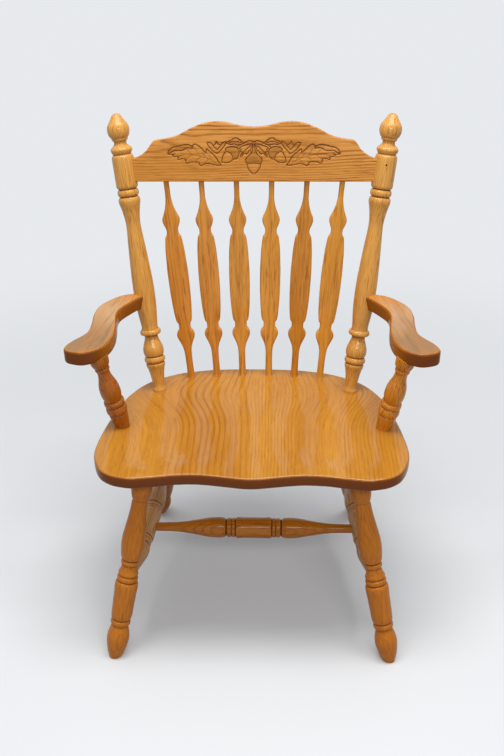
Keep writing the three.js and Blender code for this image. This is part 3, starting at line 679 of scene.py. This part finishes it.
# Back posts
# Two turned oak posts that lean back and outward, glued in the seat: a foot, a ring, a small
# vase, a collar, the long vase, two beads round the block that takes the crest rail, and a finial.
post_foot = (206, 139)
post_splay = 6.96
post_rake = 10.17
post_profile = [
    # distance from the seat's rim, radius
    (-22, 12.4), (0, 14), (2.2, 14.3), (5, 13.7), (9, 12.7), (15, 12.6), (20, 13.1), (30, 14.2),
    (40, 15.7), (50, 17.8), (55, 19.4), (59, 20.4), (62, 20.1), (64.3, 17.9), (64.3, 17.9),
    (66.4, 20.6), (68.6, 22), (71, 22.3), (74, 21.7), (76.8, 20.2), (78.8, 17.8), (78.8, 17.8),
    (81, 20.2), (85, 21.4), (90, 21.9), (95, 21.7), (100, 20.6), (105, 18.9), (110, 17.3),
    (115, 15.5), (119, 14.4), (122.6, 14.2), (125, 15), (125, 15), (126.4, 18.6), (128.4, 21.4),
    (131, 22.3), (134, 21.9), (136.8, 20.2), (138.8, 17.6), (138.8, 17.6), (143, 17.1),
    (150, 17.5), (160, 18.6), (170, 19.7), (190, 21.2), (210, 22), (225, 22.1), (240, 21.9),
    (255, 21.4), (270, 20.5), (285, 19.8), (300, 18.9), (315, 17.9), (330, 16.8), (345, 15.7),
    (360, 15), (368, 15.1), (378, 16.1), (390, 17.9), (400, 20.1), (406, 21.6), (411, 22.4),
    (415, 22), (418, 20.6), (420.4, 17.8), (420.4, 17.8), (423, 20.8), (427, 21.9), (431, 21.5),
    (434, 19.8), (435.8, 17.8), (435.8, 17.8), (438, 20.8), (441, 22), (450, 22.2), (480, 22.2),
    (498, 22.1), (502, 21.2), (505.4, 18.1), (505.4, 18.1), (508, 19.8), (511, 21.3),
    (514.4, 22), (517.6, 20.7), (520.4, 18), (523, 15), (525.6, 13), (528, 12.5), (530.6, 12.8),
    (530.6, 12.8), (532.6, 15), (535, 16.4), (537, 16.1), (537, 16.1), (540, 18.9), (545, 21.2),
    (549, 22.2), (553, 22.5), (557.5, 22.2), (562.5, 20.8), (567.5, 17.8), (572.5, 14.4),
    (577, 11.6), (580.6, 9.4), (583.4, 7.2), (584.7, 4.8), (585, 2), (585, 0.6),
]
pin_height = 482  # up the leaning back, from the seat's rim
hole_radius = 1.9
hole_depth = 1.5
hole_sides = 8
hole_surroundings = 8  # how far from the hole's middle the faces are cut
back_up = Vector((0, math.sin(math.radians(post_rake)), math.cos(math.radians(post_rake))))
back_front = Vector((0, -back_up.z, back_up.y))


def post_axis(side):
    foot = Vector((side * post_foot[0], post_foot[1], rim_height))
    return foot, leaning(side, post_splay, post_rake)


def post_at_height(side, height):
    foot, upward = post_axis(side)
    return foot + upward * ((height - foot.z) / upward.z)


def front_faces(bm, axis_place, reach):
    # the faces of the post's front within this many millimetres of the hole's axis
    faces = []
    for face in bm.faces:
        offset = face.calc_center_median() - axis_place
        if offset.cross(back_front).length < reach / 1000 and offset.dot(back_front) > 0:
            faces.append(face)
    return faces


def sink_hole(bm, axis_point):
    # presses the round hole of a sunk brad in the front of the post, dark inside
    axis_place = spot(*axis_point)
    for k in range(hole_sides):
        angle = math.tau * k / hole_sides
        way = Vector((1, 0, 0)) * math.cos(angle) + back_up * math.sin(angle)
        near = front_faces(bm, axis_place, hole_surroundings)
        around = {e for f in near for e in f.edges} | {v for f in near for v in f.verts}
        bmesh.ops.bisect_plane(
            bm, geom=near + list(around), dist=1e-6,
            plane_co=axis_place + way * hole_radius / 1000, plane_no=way,
        )
    inner = front_faces(bm, axis_place, hole_radius)
    stain_and_shade = bm.verts.layers.float["stain_and_shade"]
    made = bmesh.ops.extrude_face_region(bm, geom=inner)["geom"]
    for vertex in (v for v in made if isinstance(v, bmesh.types.BMVert)):
        vertex.co -= back_front * hole_depth / 1000
        vertex[stain_and_shade] = 1
    bmesh.ops.delete(bm, geom=inner, context="FACES")


for side_name, side in sides:
    foot, upward = post_axis(side)
    matrix = axis_matrix(foot, upward)
    post_oak = oak(
        f"back_post_{side_name}_oak", matrix, (0.03 * side, -0.022), 0.0038, seed=41 + 2 * side,
        golden=(0.64, 0.305, 0.058), brown=(0.34, 0.12, 0.014), waviness=0.6, contrast=0.75,
        flecks=1.4, coat=0.4,
    )
    post_bm = turn_on_lathe(post_profile, matrix)
    if side > 0:  # the left post shows no hole
        sink_hole(post_bm, post_at_height(side, rim_height + back_up.z * pin_height))
    finish_piece(
        post_bm, f"turned_back_post_{side_name}", f"back_post_{side_name}", post_oak,
    )

# Crest rail
# A sawn oak board with a waved upper edge, tenoned in the two posts and leaning with them. Its
# front is carved with two oak leaves, buds and acorns round a hanging acorn.
crest_thickness = 22
crest_rise = 448  # from the seat's rim to its lower edge, up the leaning back
crest_end = 247  # hidden in the post
crest_round = 2
crest_grain_rise = 50  # up the board, where the grain is measured from
crest_curve = [
    (0, 107.1), (14.4, 108), (36, 111.4), (54, 116), (76, 117.8), (100, 114.6), (126, 105),
    (155, 90.5), (176, 84.8), (201, 81.4), (201, 81.4), (208, 72.2), (216.5, 61.2), (229, 51.8),
    (241, 46.7), (258, 45.5),
]
photo_size = (504, 756)  # pixels
photo_focal = camera_data.lens / camera_data.sensor_width * photo_size[1]
carving_middle = (253.4, 160)
carving_picks = {
    # one half of the carving, in the photo's pixels across and down; a pick given
    # twice is a crisp corner
    "big_leaf_top": [
        (167.2, 154.2), (167.9, 151.8), (169.6, 149.4), (172, 147.8), (176, 147), (180, 145.9),
        (184, 144.9), (187.5, 144.9), (190.5, 146), (192.3, 147.6), (192.3, 147.6),
        (192.2, 146.4), (193.3, 144.6), (195.4, 144.7), (198, 146.1), (200.6, 148.3), (203, 151),
        (205.6, 153), (205.6, 153), (205.7, 150.7), (206.4, 149.1), (206.4, 149.1),
        (208.8, 151.2), (211.8, 153.6), (214.6, 156.6), (217, 160), (219, 163.2), (220.9, 165.4),
    ],
    "big_leaf_bottom": [
        (220.9, 165.4), (217.5, 165.6), (212.5, 164.6), (207.5, 163.8), (204, 164.3),
        (200.8, 165.9), (198.9, 164.6), (198.6, 162.6), (198.6, 162.6), (194.5, 162.2),
        (190.2, 162.4), (186.2, 163.6), (185.3, 161.6), (185.2, 159.3), (185.2, 159.3),
        (181, 159), (178.2, 159.9), (177.3, 159.2), (178.2, 157.2), (178.2, 157.2),
        (175.5, 156.9), (172.6, 156.5), (172.2, 155.4), (174, 154.4), (174, 154.4),
        (171.1, 154.8), (167.2, 154.2),
    ],
    "big_leaf_fold": [
        (167.2, 154.2), (169, 153.6), (171, 152.2), (174, 151), (178, 150.8), (182, 150.6),
        (184.6, 149), (187.6, 148), (190.4, 148.2), (192.6, 148.4),
    ],
    "bud_outer": [
        (206.4, 143.2), (207.8, 146), (210.4, 149.2), (213.6, 152.2), (217.2, 153.9),
        (217.2, 153.9), (220, 150.8), (223, 147.4), (225, 144.2), (225.4, 141.6),
    ],
    "bud_left": [(206.4, 143.2), (208.3, 142.6), (210.8, 143.6), (213.4, 146.8), (216.7, 149.9)],
    "bud_right": [(216.7, 149.9), (219.4, 146.9), (222, 143.4), (225.4, 141.6)],
    "bud_middle": [
        (212.8, 145.8), (214.4, 144.6), (215.9, 141.7), (215.9, 141.7), (217.4, 144.2),
        (219.6, 145),
    ],
    "nut": [
        (225.4, 151.4), (223.2, 154.6), (221.8, 158.6), (221.3, 162.4), (221.3, 162.4),
        (225, 163), (229, 162.4), (232.6, 159.7), (232.6, 159.7), (231.8, 156), (229, 152.8),
        (225.4, 151.4),
    ],
    "cap": [
        (225.4, 151.4), (224.9, 149.6), (226.8, 147.8), (230.2, 147), (234.2, 147.2),
        (237.4, 149), (238.8, 152.2), (238, 156), (236, 159), (232.6, 159.7), (232.6, 159.7),
        (231.8, 156), (229, 152.8), (225.4, 151.4),
    ],
    "small_leaf_top": [
        (225.6, 143.8), (227.4, 141.9), (229.6, 140.8), (231.7, 140.1), (231.7, 140.1),
        (233.4, 138.5), (236, 138.2), (238.6, 139.4), (241, 141.6), (243.6, 143.6),
    ],
    "small_leaf_bottom": [
        (243.6, 143.6), (239.6, 144.9), (236.6, 145.2), (233.4, 144.3), (230.4, 145),
        (230.4, 145), (228.2, 144.3), (225.6, 143.8),
    ],
    "small_leaf_vein": [(228.6, 143.2), (232, 142.2), (236, 142), (240.4, 142.8)],
    "bow_top": [
        (236.6, 147.4), (238.6, 145.8), (241.2, 144.6), (244.2, 143), (247, 141.5), (250, 141),
        (253.3, 142.2),
    ],
    "bow_leaf_outer": [
        (252.2, 144.2), (249.4, 144.4), (246, 145), (242.6, 146.2), (239.6, 147.6),
        (238.8, 148.9), (240.8, 149.6), (240.8, 149.6), (240, 151.8), (242.2, 152.6),
        (242.2, 152.6), (240.3, 154.6), (240.4, 157.2),
    ],
    "bow_leaf_inner": [
        (240.4, 157.2), (242.8, 154.8), (245.2, 153.4), (245.2, 153.4), (245.8, 154.6),
        (247.6, 153), (248.6, 150.6), (248.6, 150.6), (249.6, 151.4), (250.6, 148.4),
        (252.2, 144.2),
    ],
    "bow_leaf_vein": [(250, 146), (247, 148.6), (244, 151.6), (241.4, 155.2)],
    "hanging_cap": [
        (252.4, 144.4), (252.2, 148.4), (251.4, 152), (249.4, 154.8), (247, 157.2),
        (245.4, 159.6), (245.4, 162.4), (246.8, 163.9), (246.8, 163.9), (250, 163.7),
        (253.4, 163.5),
    ],
    "hanging_nut": [(246.8, 164.2), (247, 167), (248.6, 170), (251, 172.8), (253.4, 174.7)],
}
vein_picks = [
    # the long middle vein, then the short ones that branch off it
    [(219.9, 166.7), (214, 162.5), (206.7, 158.6), (198.4, 156.4), (189.6, 154.7), (179.7, 153.9)],
    [(211.1, 160.8), (208.7, 155.8)],
    [(205.3, 158), (201.9, 152.5)],
    [(198.4, 156.4), (195.1, 149.2)],
    [(190.6, 154.7), (186.7, 149.7)],
    [(208.2, 159.2), (203.7, 164.1)],
    [(200.4, 157), (194.8, 161.9)],
    [(191.5, 155), (186, 159.2)],
    [(183.7, 154.2), (178.7, 156.9)],
]
bodies_of_carving = [
    # the lines round each raised form, joined end to end
    (("big_leaf_top", "big_leaf_bottom"), False), (("bud_outer",), False), (("nut",), False),
    (("cap",), True), (("small_leaf_top", "small_leaf_bottom"), False),
    (("bow_leaf_outer", "bow_leaf_inner"), False), (("hanging_cap",), True),
    (("hanging_nut",), False),
]
groove_depth = 1.6
groove_reach = 1.05
stain_reach = 0.95
line_stain = 0.98
rounding_depth = 0.95  # of a raised form, at the lines round it
rounding_reach = 2.6
# painted shade inside each raised form, darkest beside its lines
edge_shade = 0.3  # beside those lines
shade_reach = 2.2
scale_turns = 1.9  # radians to the millimetre, for the scales of the acorns' caps
scale_depths = (0.3, 0.22)  # the mean, and the swing to either side of it
scale_stains = (0.34, 0.14)
leaf_depth = 0.12  # of the leaf's whole face
vein_depth = 0.5
vein_stain = 0.42
vein_reach = 1.3
carved_half_width = 179  # the carved field of the board, finely divided
carved_from = 16
carved_to = 91
edge_share = 0.05  # of the grid's height, taken up by the strips below and above that field
end_share = 0.06  # of its width, taken up by the plain ends
top_gap = 3  # between the field and the edge where the board is low
crest_origin = Vector((0, post_foot[1], rim_height)) + back_up * crest_rise


def crest_spot(x, rise, depth):
    # a place on the board, depth being measured back from its front face
    place = crest_origin + back_up * rise + back_front * (crest_thickness / 2 - depth)
    return spot(x, place.y, place.z)


def on_rail(pick):
    # carries a pick along the camera's ray to the rail's front: distance across, height up it
    across, down = pick[0] - photo_size[0] / 2, pick[1] - photo_size[1] / 2
    ray = ahead * photo_focal + camera_right * across - camera_up * down
    corner = crest_spot(0, 0, 0)
    reach = (corner - camera_place).dot(back_front) / ray.dot(back_front)
    place = (camera_place + ray * reach - corner) * 1000
    return Vector((place.x, place.dot(back_up)))


def drawn_line(picks):
    # the smooth line that the carver followed: distance from the middle, height up the board
    middle = on_rail(carving_middle).x
    points = [on_rail(pick) for pick in picks]
    return np.array(flowing([(middle - p.x, p.y) for p in points], steps=3))


def distance_to_lines(spots, lines):
    # the distance in millimetres from every spot to the nearest of the lines
    nearest = np.full(len(spots), 1e3)
    for line in lines:
        for a, b in zip(line, line[1:]):
            step = b - a
            share = np.clip((spots - a) @ step / max(step @ step, 1e-9), 0, 1)
            gap = spots - (a + share[:, None] * step)
            nearest = np.minimum(nearest, np.hypot(gap[:, 0], gap[:, 1]))
    return nearest


def inside_loop(spots, loop):
    inside = np.zeros(len(spots), bool)
    for (ax, ay), (bx, by) in zip(loop, np.roll(loop, -1, axis=0)):
        crosses = (ay > spots[:, 1]) != (by > spots[:, 1])
        rise = by - ay if by != ay else 1e-9
        inside ^= crosses & (spots[:, 0] < (bx - ax) * (spots[:, 1] - ay) / rise + ax)
    return inside


def carve(spots):
    # how deep the carver went and how dark each spot of the front is, stain in the lines and a
    # painted shade inside the raised forms beside them; the front's two halves mirror each other
    spots = np.stack([np.abs(spots[:, 0]), spots[:, 1]], 1)
    smooth = {name: drawn_line(picks) for name, picks in carving_picks.items()}
    to_line = distance_to_lines(spots, smooth.values())
    to_vein = distance_to_lines(spots, [drawn_line(picks) for picks in vein_picks])
    depth = groove_depth * np.exp(-((to_line / groove_reach) ** 2))
    stain_and_shade = line_stain * np.exp(-((to_line / stain_reach) ** 2))
    for names, scaly in bodies_of_carving:
        loop = np.concatenate([smooth[name] for name in names])
        if names[0].startswith("hanging"):
            # half of a form in the middle is closed down the middle line
            loop = np.concatenate([loop, [(0, loop[-1][1]), (0, loop[0][1])]])
        inside = inside_loop(spots, loop)
        slope = rounding_depth * np.exp(-to_line / rounding_reach)
        # painted shade inside the form, along its lines
        shade = edge_shade * np.exp(-to_line / shade_reach)
        depth = np.where(inside, np.maximum(depth, slope), depth)
        stain_and_shade = np.where(inside, np.maximum(stain_and_shade, shade), stain_and_shade)
        if scaly:
            rising = np.sin((spots[:, 0] + spots[:, 1]) * scale_turns)
            weave = rising * np.sin((spots[:, 0] - spots[:, 1]) * scale_turns)
            scale_depth = scale_depths[0] + scale_depths[1] * weave
            scale_stain = scale_stains[0] + scale_stains[1] * weave
            depth = np.where(inside, depth + scale_depth, depth)
            stain_and_shade = np.where(inside, np.maximum(stain_and_shade, scale_stain), stain_and_shade)
    veins = np.exp(-((to_vein / vein_reach) ** 2))
    leaf = inside_loop(spots, np.concatenate([smooth["big_leaf_top"], smooth["big_leaf_bottom"]]))
    depth = np.where(leaf, np.maximum(depth, vein_depth * veins + leaf_depth), depth)
    stain_and_shade = np.where(leaf, np.maximum(stain_and_shade, vein_stain * veins ** 2), stain_and_shade)
    return depth, stain_and_shade


# the upper edge, moved in by its rounding
crest_top = np.array([(p.x, p.y) for p in flowing(crest_curve, steps=8)])
slopes = np.gradient(crest_top, axis=0)
slopes /= np.maximum(np.hypot(slopes[:, 0], slopes[:, 1]), 1e-9)[:, None]
inner_top = crest_top + np.stack([slopes[:, 1], -slopes[:, 0]], 1) * crest_round
inner_top = inner_top[np.argsort(inner_top[:, 0])]

crest_bm = bmesh.new()
crest_stain_and_shade = crest_bm.verts.layers.float.new("stain_and_shade")
bmesh.ops.create_grid(crest_bm, x_segments=460, y_segments=100, size=0.5)
crest_verts = list(crest_bm.verts)
grid = np.array([(v.co.x, v.co.y) for v in crest_verts])
level = grid[:, 1] + 0.5
wide = np.interp(
    grid[:, 0], (-0.5, end_share - 0.5, 0.5 - end_share, 0.5),
    (-crest_end, -carved_half_width, carved_half_width, crest_end),
)
limit = np.interp(np.abs(wide), inner_top[:, 0], inner_top[:, 1])
field_top = np.minimum(carved_to, limit - top_gap)
in_strip = crest_round + (carved_from - crest_round) * level / edge_share
in_field = carved_from + (field_top - carved_from) * (level - edge_share) / (1 - 2 * edge_share)
over_field = field_top + (limit - field_top) * (level - 1 + edge_share) / edge_share
rise = np.where(level < edge_share, in_strip, in_field)
rise = np.where(level > 1 - edge_share, over_field, rise)
depths, stains_and_shade = carve(np.stack([wide, rise], 1))
for vertex, x, v, depth, dark in zip(crest_verts, wide, rise, depths, stains_and_shade):
    vertex.co = crest_spot(x, v, depth)
    vertex[crest_stain_and_shade] = dark


def border_ring(bm):
    # the vertices of the front's border, walked round from one to the next
    rim_edges = [e for e in bm.edges if e.is_boundary]
    links = {}
    for edge in rim_edges:
        for vertex in edge.verts:
            links.setdefault(vertex, []).append(edge.other_vert(vertex))
    ring, last = [rim_edges[0].verts[0]], None
    while len(ring) < len(links):
        here = ring[-1]
        ring.append(next(v for v in links[here] if v is not last))
        last = here
    return ring


def as_drawn(place):
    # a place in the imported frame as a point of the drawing
    return place * 1000 - Vector((0, frame_shift_y, 0))


def on_board(vertex):
    # a vertex as a place on the board's face: distance from the middle, height up the board
    point = as_drawn(vertex.co)
    return Vector((point.x, (point - crest_origin).dot(back_up)))


def runs_clockwise(points):
    pairs = zip(points, points[1:] + points[:1])
    return sum(a.x * b.y - b.x * a.y for a, b in pairs) < 0


ring = border_ring(crest_bm)
flat_ring = [on_board(v) for v in ring]
if runs_clockwise(flat_ring):
    ring.reverse()
    flat_ring.reverse()
# how far outside the front's border each ring of the rounded edges lies, and how far back
quarter = [math.radians(18 * k) for k in range(6)]
crest_edge = [
    (crest_round * math.sin(a), crest_round * (1 - math.cos(a))) for a in quarter[1:]
] + [
    (crest_round * math.cos(a), crest_thickness - crest_round * (1 - math.sin(a)))
    for a in quarter
] + [(-1, crest_thickness)]
for reach, sink in crest_edge:
    moved = ring_inset(flat_ring, -reach)
    ring = grow_ring(crest_bm, ring, [crest_spot(p.x, p.y, sink) for p in moved])
close_ring(crest_bm, ring)
grain_start = crest_spot(0, crest_grain_rise, crest_thickness / 2)
crest_grain = Matrix.Translation(grain_start) @ Matrix.Rotation(math.radians(90), 4, "Y")
crest_oak_finish = oak(
    "crest_oak_finish", crest_grain, (-0.023, 0.026), 0.0043, seed=5, waviness=1.1, contrast=1.3,
    golden=(0.56, 0.232, 0.04), coat=0.14,
)
finish_piece(crest_bm, "carved_crest_rail", "crest_rail", crest_oak_finish)

# Brads and screws
# A steel brad, driven in from the front of each post, pins the rail's tenon, and a steel wood
# screw draws each arm to its post. Their CAD solids stay and get their finish here.


def steel(name):
    material = bpy.data.materials.new(name)
    material.use_nodes = True
    tree = material.node_tree
    shader = tree.nodes["Principled BSDF"]
    coords = add_node(tree, "TexCoord").outputs["Object"]
    drawn = add_node(tree, "TexNoise", {"Vector": coords, "Scale": 900, "Detail": 2}).outputs[0]
    colour = blend(tree, drawn, (0.3, 0.3, 0.31), (0.5, 0.5, 0.5))
    tree.links.new(colour, shader.inputs["Base Color"])
    tree.links.new(ranged(tree, drawn, 0, 1, 0.3, 0.5), shader.inputs["Roughness"])
    shader.inputs["Metallic"].default_value = 1
    return material


steel_finish = steel("steel_wire")
for node in ("crest_pin_left", "crest_pin_right", "arm_screw_left", "arm_screw_right"):
    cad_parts[node].material_slots[0].material = steel_finish

# Spindles
# Six flat oak spindles sawn and sanded to a double arrow outline, with round ends glued in the
# seat and in the underside of the crest rail.
spindle_seat_x = (29, 85.7, 142)  # of one half, from the middle outward
spindle_arc_radius = 630
spindle_arc_y = 214
spindle_crest_spacing = 71.6
spindle_outline = [
    # distance from the seat's rim, full width
    (-16, 15.6), (0, 17), (3, 15.8), (12, 15.3), (31, 14.8), (60, 15.4), (70, 17.6), (78, 21.6),
    (89, 30.4), (96, 36), (100.5, 38.2), (105, 38.4), (109, 36.4), (113, 32), (115.5, 27.6),
    (118, 25.9), (124, 25.3), (129, 25.8), (131.5, 27.6), (133, 30.4), (136, 33), (147, 36.4),
    (167, 39.8), (186, 41.8), (205, 43), (225, 43.5), (250, 43.5), (268, 42), (290, 40.2),
    (301, 38.6), (319, 34.4), (324, 32.4), (326.5, 29.4), (328.5, 26.4), (332, 24.6), (337, 24),
    (341.5, 25), (345, 27.6), (351, 32.4), (357, 35.6), (361, 36.2), (365, 34.6), (373, 27.8),
    (382, 21), (391, 16), (400, 12.8), (409, 11.2), (434, 11.2), (456, 11.9),
]
drawn_length = 441  # from seat to rail, as the outline is drawn
spindle_thickness = [(-16, 18), (0, 18), (40, 16.4), (100, 12), (125, 11), (345, 11), (456, 11.6)]
thinnest = 11
spindle_squareness = [(30, 2), (110, 5), (370, 5), (425, 2)]  # 2 is an ellipse, more is squarer
spindle_sides = 36
spindle_tones = (
    (0.61, 0.225, 0.022), (0.61, 0.24, 0.03), (0.63, 0.265, 0.034), (0.69, 0.3, 0.04),
    (0.57, 0.22, 0.022), (0.69, 0.3, 0.036),
)


def spindle_ring(matrix, along, width, thickness, squareness):
    places = []
    for k in range(spindle_sides):
        angle = math.tau * k / spindle_sides
        across, through = math.cos(angle), math.sin(angle)
        x = math.copysign(abs(across) ** (2 / squareness), across) * width / 2
        y = math.copysign(abs(through) ** (2 / squareness), through) * thickness / 2
        places.append(matrix @ (Vector((x, y, along)) / 1000))
    return places


for index, golden in enumerate(spindle_tones):
    number = index + 1
    half = len(spindle_seat_x)
    side, rank = (-1, half - 1 - index) if index < half else (1, index - half)
    seat_x = spindle_seat_x[rank]
    sag = spindle_arc_radius - math.sqrt(spindle_arc_radius ** 2 - seat_x ** 2)
    foot = Vector((side * seat_x, spindle_arc_y - sag, rim_height))
    head = Vector((side * spindle_crest_spacing * (rank + 0.5), crest_origin.y, crest_origin.z))
    length = (head - foot).length
    matrix = axis_matrix(foot, (head - foot).normalized())
    rings = []
    for p in flowing(spindle_outline, steps=5):
        thickness = float(np.interp(p.x, *zip(*spindle_thickness)))
        squareness = float(np.interp(p.x, *zip(*spindle_squareness)))
        rings.append(spindle_ring(
            matrix, p.x * length / drawn_length, p.y, min(thickness, max(p.y, thinnest)),
            squareness,
        ))
    bm = bmesh.new()
    stack_rings(bm, rings)
    spindle_oak = oak(
        f"spindle_{number}_oak", matrix, (0.02 - 0.011 * (index % 4), 0.045), 0.0031,
        seed=61 + 4 * index, golden=golden, brown=(0.32, 0.1, 0.009),
        waviness=0.55, contrast=0.65, flecks=1.2, coat=0.35,
    )
    finish_piece(
        bm, f"arrow_spindle_{number}", f"spindle_{number}", spindle_oak, crease=30,
    )

# Arms
# Two oak arms sawn to an S in plan, rounded along both edges and rising slightly to the posts,
# which they are screwed and glued to. Hands have rubbed the lacquer off their tops.
arm_rise = 216
arm_tilt = math.radians(5.3)
arm_thickness = 30
arm_reach = 129
arm_length = 248
arm_round = 5
arm_flat_inset = 6.5  # where the level top and underside begin
arm_grain_turn = 12  # degrees, by which the grain follows the arm's slant
arm_outline = [
    # shares of the reach outward and of the length forward, outer edge first
    (0.03, 0.0), (0.17, 0.035), (0.34, 0.066), (0.516, 0.145), (0.652, 0.244), (0.706, 0.381),
    (0.698, 0.533), (0.718, 0.663), (0.776, 0.721), (0.904, 0.806), (0.972, 0.865),
    (0.994, 0.922), (0.95, 0.966), (0.811, 0.995), (0.714, 1.0), (0.617, 0.985), (0.45, 0.926),
    (0.338, 0.821), (0.295, 0.699), (0.303, 0.568), (0.334, 0.396), (0.303, 0.313),
    (0.175, 0.203), (0.05, 0.12), (-0.04, 0.079), (-0.09, 0.02),
]


def arm_matrix(side):
    origin = post_at_height(side, rim_height + arm_rise)
    return Matrix.Translation(spot(*origin)) @ Matrix.Rotation(arm_tilt, 4, "X")


for side_name, side in sides:
    matrix = arm_matrix(side)
    corners = [(side * x * arm_reach, -y * arm_length) for x, y in arm_outline]
    outline = flowing(corners, steps=8)
    if runs_clockwise(outline):
        outline.reverse()
    quarter = [math.radians(15 * k) for k in range(7)]
    steps = [(arm_flat_inset, -arm_thickness)] + [
        (arm_round * (1 - math.sin(a)), arm_round * (1 - math.cos(a)) - arm_thickness)
        for a in quarter
    ] + [
        (arm_round * (1 - math.cos(a)), arm_round * (math.sin(a) - 1)) for a in quarter
    ] + [(arm_flat_inset, 0)]
    bm = bmesh.new()
    stack_rings(bm, [
        [matrix @ (Vector((p.x, p.y, height)) / 1000) for p in ring_inset(outline, inset)]
        for inset, height in steps
    ])
    turn = Matrix.Rotation(math.radians(90 + arm_grain_turn * side), 4, "Z")
    arm_grain = matrix @ turn @ Matrix.Rotation(math.radians(90), 4, "Y")
    # the arms' sides and rims carry stain on the end grain and painted shade; their tops are worn
    arm_oak_finish = oak(
        f"arm_{side_name}_oak", arm_grain, (0.05, 0.03 * side), 0.0042, seed=91 + 5 * side,
        golden=(0.55, 0.195, 0.014), waviness=0.9, coat=0.45, end_stain_and_side_shade=0.92, worn=(0.1, 0.2),
    )
    finish_piece(bm, f"sawn_arm_{side_name}", f"arm_{side_name}", arm_oak_finish)

# Arm supports
# Two short turned oak posts between seat and arm, splayed outward and leaning forward, glued in
# holes at both ends.
support_profile = [
    # distance from the seat's rim, radius
    (-12, 14.4), (0, 14.8), (10, 16), (24, 18.2), (31, 19), (34, 18.6), (35.6, 17.4),
    (35.6, 17.4), (38, 20.2), (43, 21.5), (48.5, 20.9), (52.4, 19.8), (54.8, 17.8),
    (54.8, 17.8), (57, 20.2), (61, 21), (65.4, 20.2), (68.4, 17.4), (68.4, 17.4), (71.5, 18.2),
    (78, 19.9), (86, 20.7), (94, 20.5), (102, 19.6), (110, 17.7), (118, 15.2), (126, 13.3),
    (133, 12.6), (138.6, 12.6), (138.6, 12.6), (140.4, 14.2), (143.6, 14.9), (146.8, 14.2),
    (148.6, 13.4), (148.6, 13.4), (151.4, 16.4), (156, 18.2), (163, 19.2), (174, 19.5),
]
support_drawn_length = 169  # from seat to arm, as the profile is drawn
support_foot = (265, -12)
support_splay = 11.3
support_lean = -7.6
# the left support's colour is darkened, a painted shadow of the arm over it
support_tones_left_shaded = ((0.4, 0.11, 0.007), (0.62, 0.215, 0.014))  # the left one is darker

for (side_name, side), golden in zip(sides, support_tones_left_shaded):
    foot = Vector((side * support_foot[0], support_foot[1], rim_height))
    upward = leaning(side, support_splay, support_lean)
    under = arm_matrix(side) @ Vector((0, 0, -arm_thickness / 1000)) - spot(*foot)
    normal = arm_matrix(side).to_3x3() @ Vector((0, 0, 1))
    length = under.dot(normal) / upward.dot(normal) * 1000
    stretch = length / support_drawn_length
    profile = [(along * stretch, radius) for along, radius in support_profile]
    matrix = axis_matrix(foot, upward)
    support_oak = oak(
        f"arm_support_{side_name}_oak", matrix, (0.02, -0.025 * side), 0.0034, seed=101 + side,
        golden=golden, brown=(0.17, 0.04, 0.002), waviness=0.5, contrast=0.7,
        flecks=1.5, coat=0.45,
    )
    finish_piece(
        turn_on_lathe(profile, matrix), f"turned_arm_support_{side_name}",
        f"arm_support_{side_name}", support_oak,
    )

# Arm plugs
# A domed oak plug, turned across its grain and glued in the screw's hole, hides the head of the
# screw that runs through each post into the arm.
plug_heading = math.radians(57)
post_radius = 22.1
plug_sink = 0.3
plug_profile = [(0, 0.5), (0.1, 2.4), (0.35, 4.1), (0.8, 4.9), (1.4, 5), (6, 5)]

for side_name, side in sides:
    arm = arm_matrix(side)
    local = Vector((side * math.cos(plug_heading), -math.sin(plug_heading), 0))
    direction = (arm.to_3x3() @ local).normalized()
    middle = arm @ Vector((0, 0, -arm_thickness / 2000))
    start = as_drawn(middle) - direction * (post_radius - plug_sink)
    matrix = axis_matrix(start, direction)
    plug_oak = oak(
        f"arm_plug_{side_name}_oak", matrix @ Matrix.Rotation(math.radians(90), 4, "X"),
        (0.01, 0.03), 0.0022, seed=121 + side, golden=(0.4, 0.14, 0.012),
    )
    finish_piece(
        turn_on_lathe(plug_profile, matrix, facets=32, steps=3), f"oak_plug_{side_name}",
        f"arm_plug_{side_name}", plug_oak,
    )
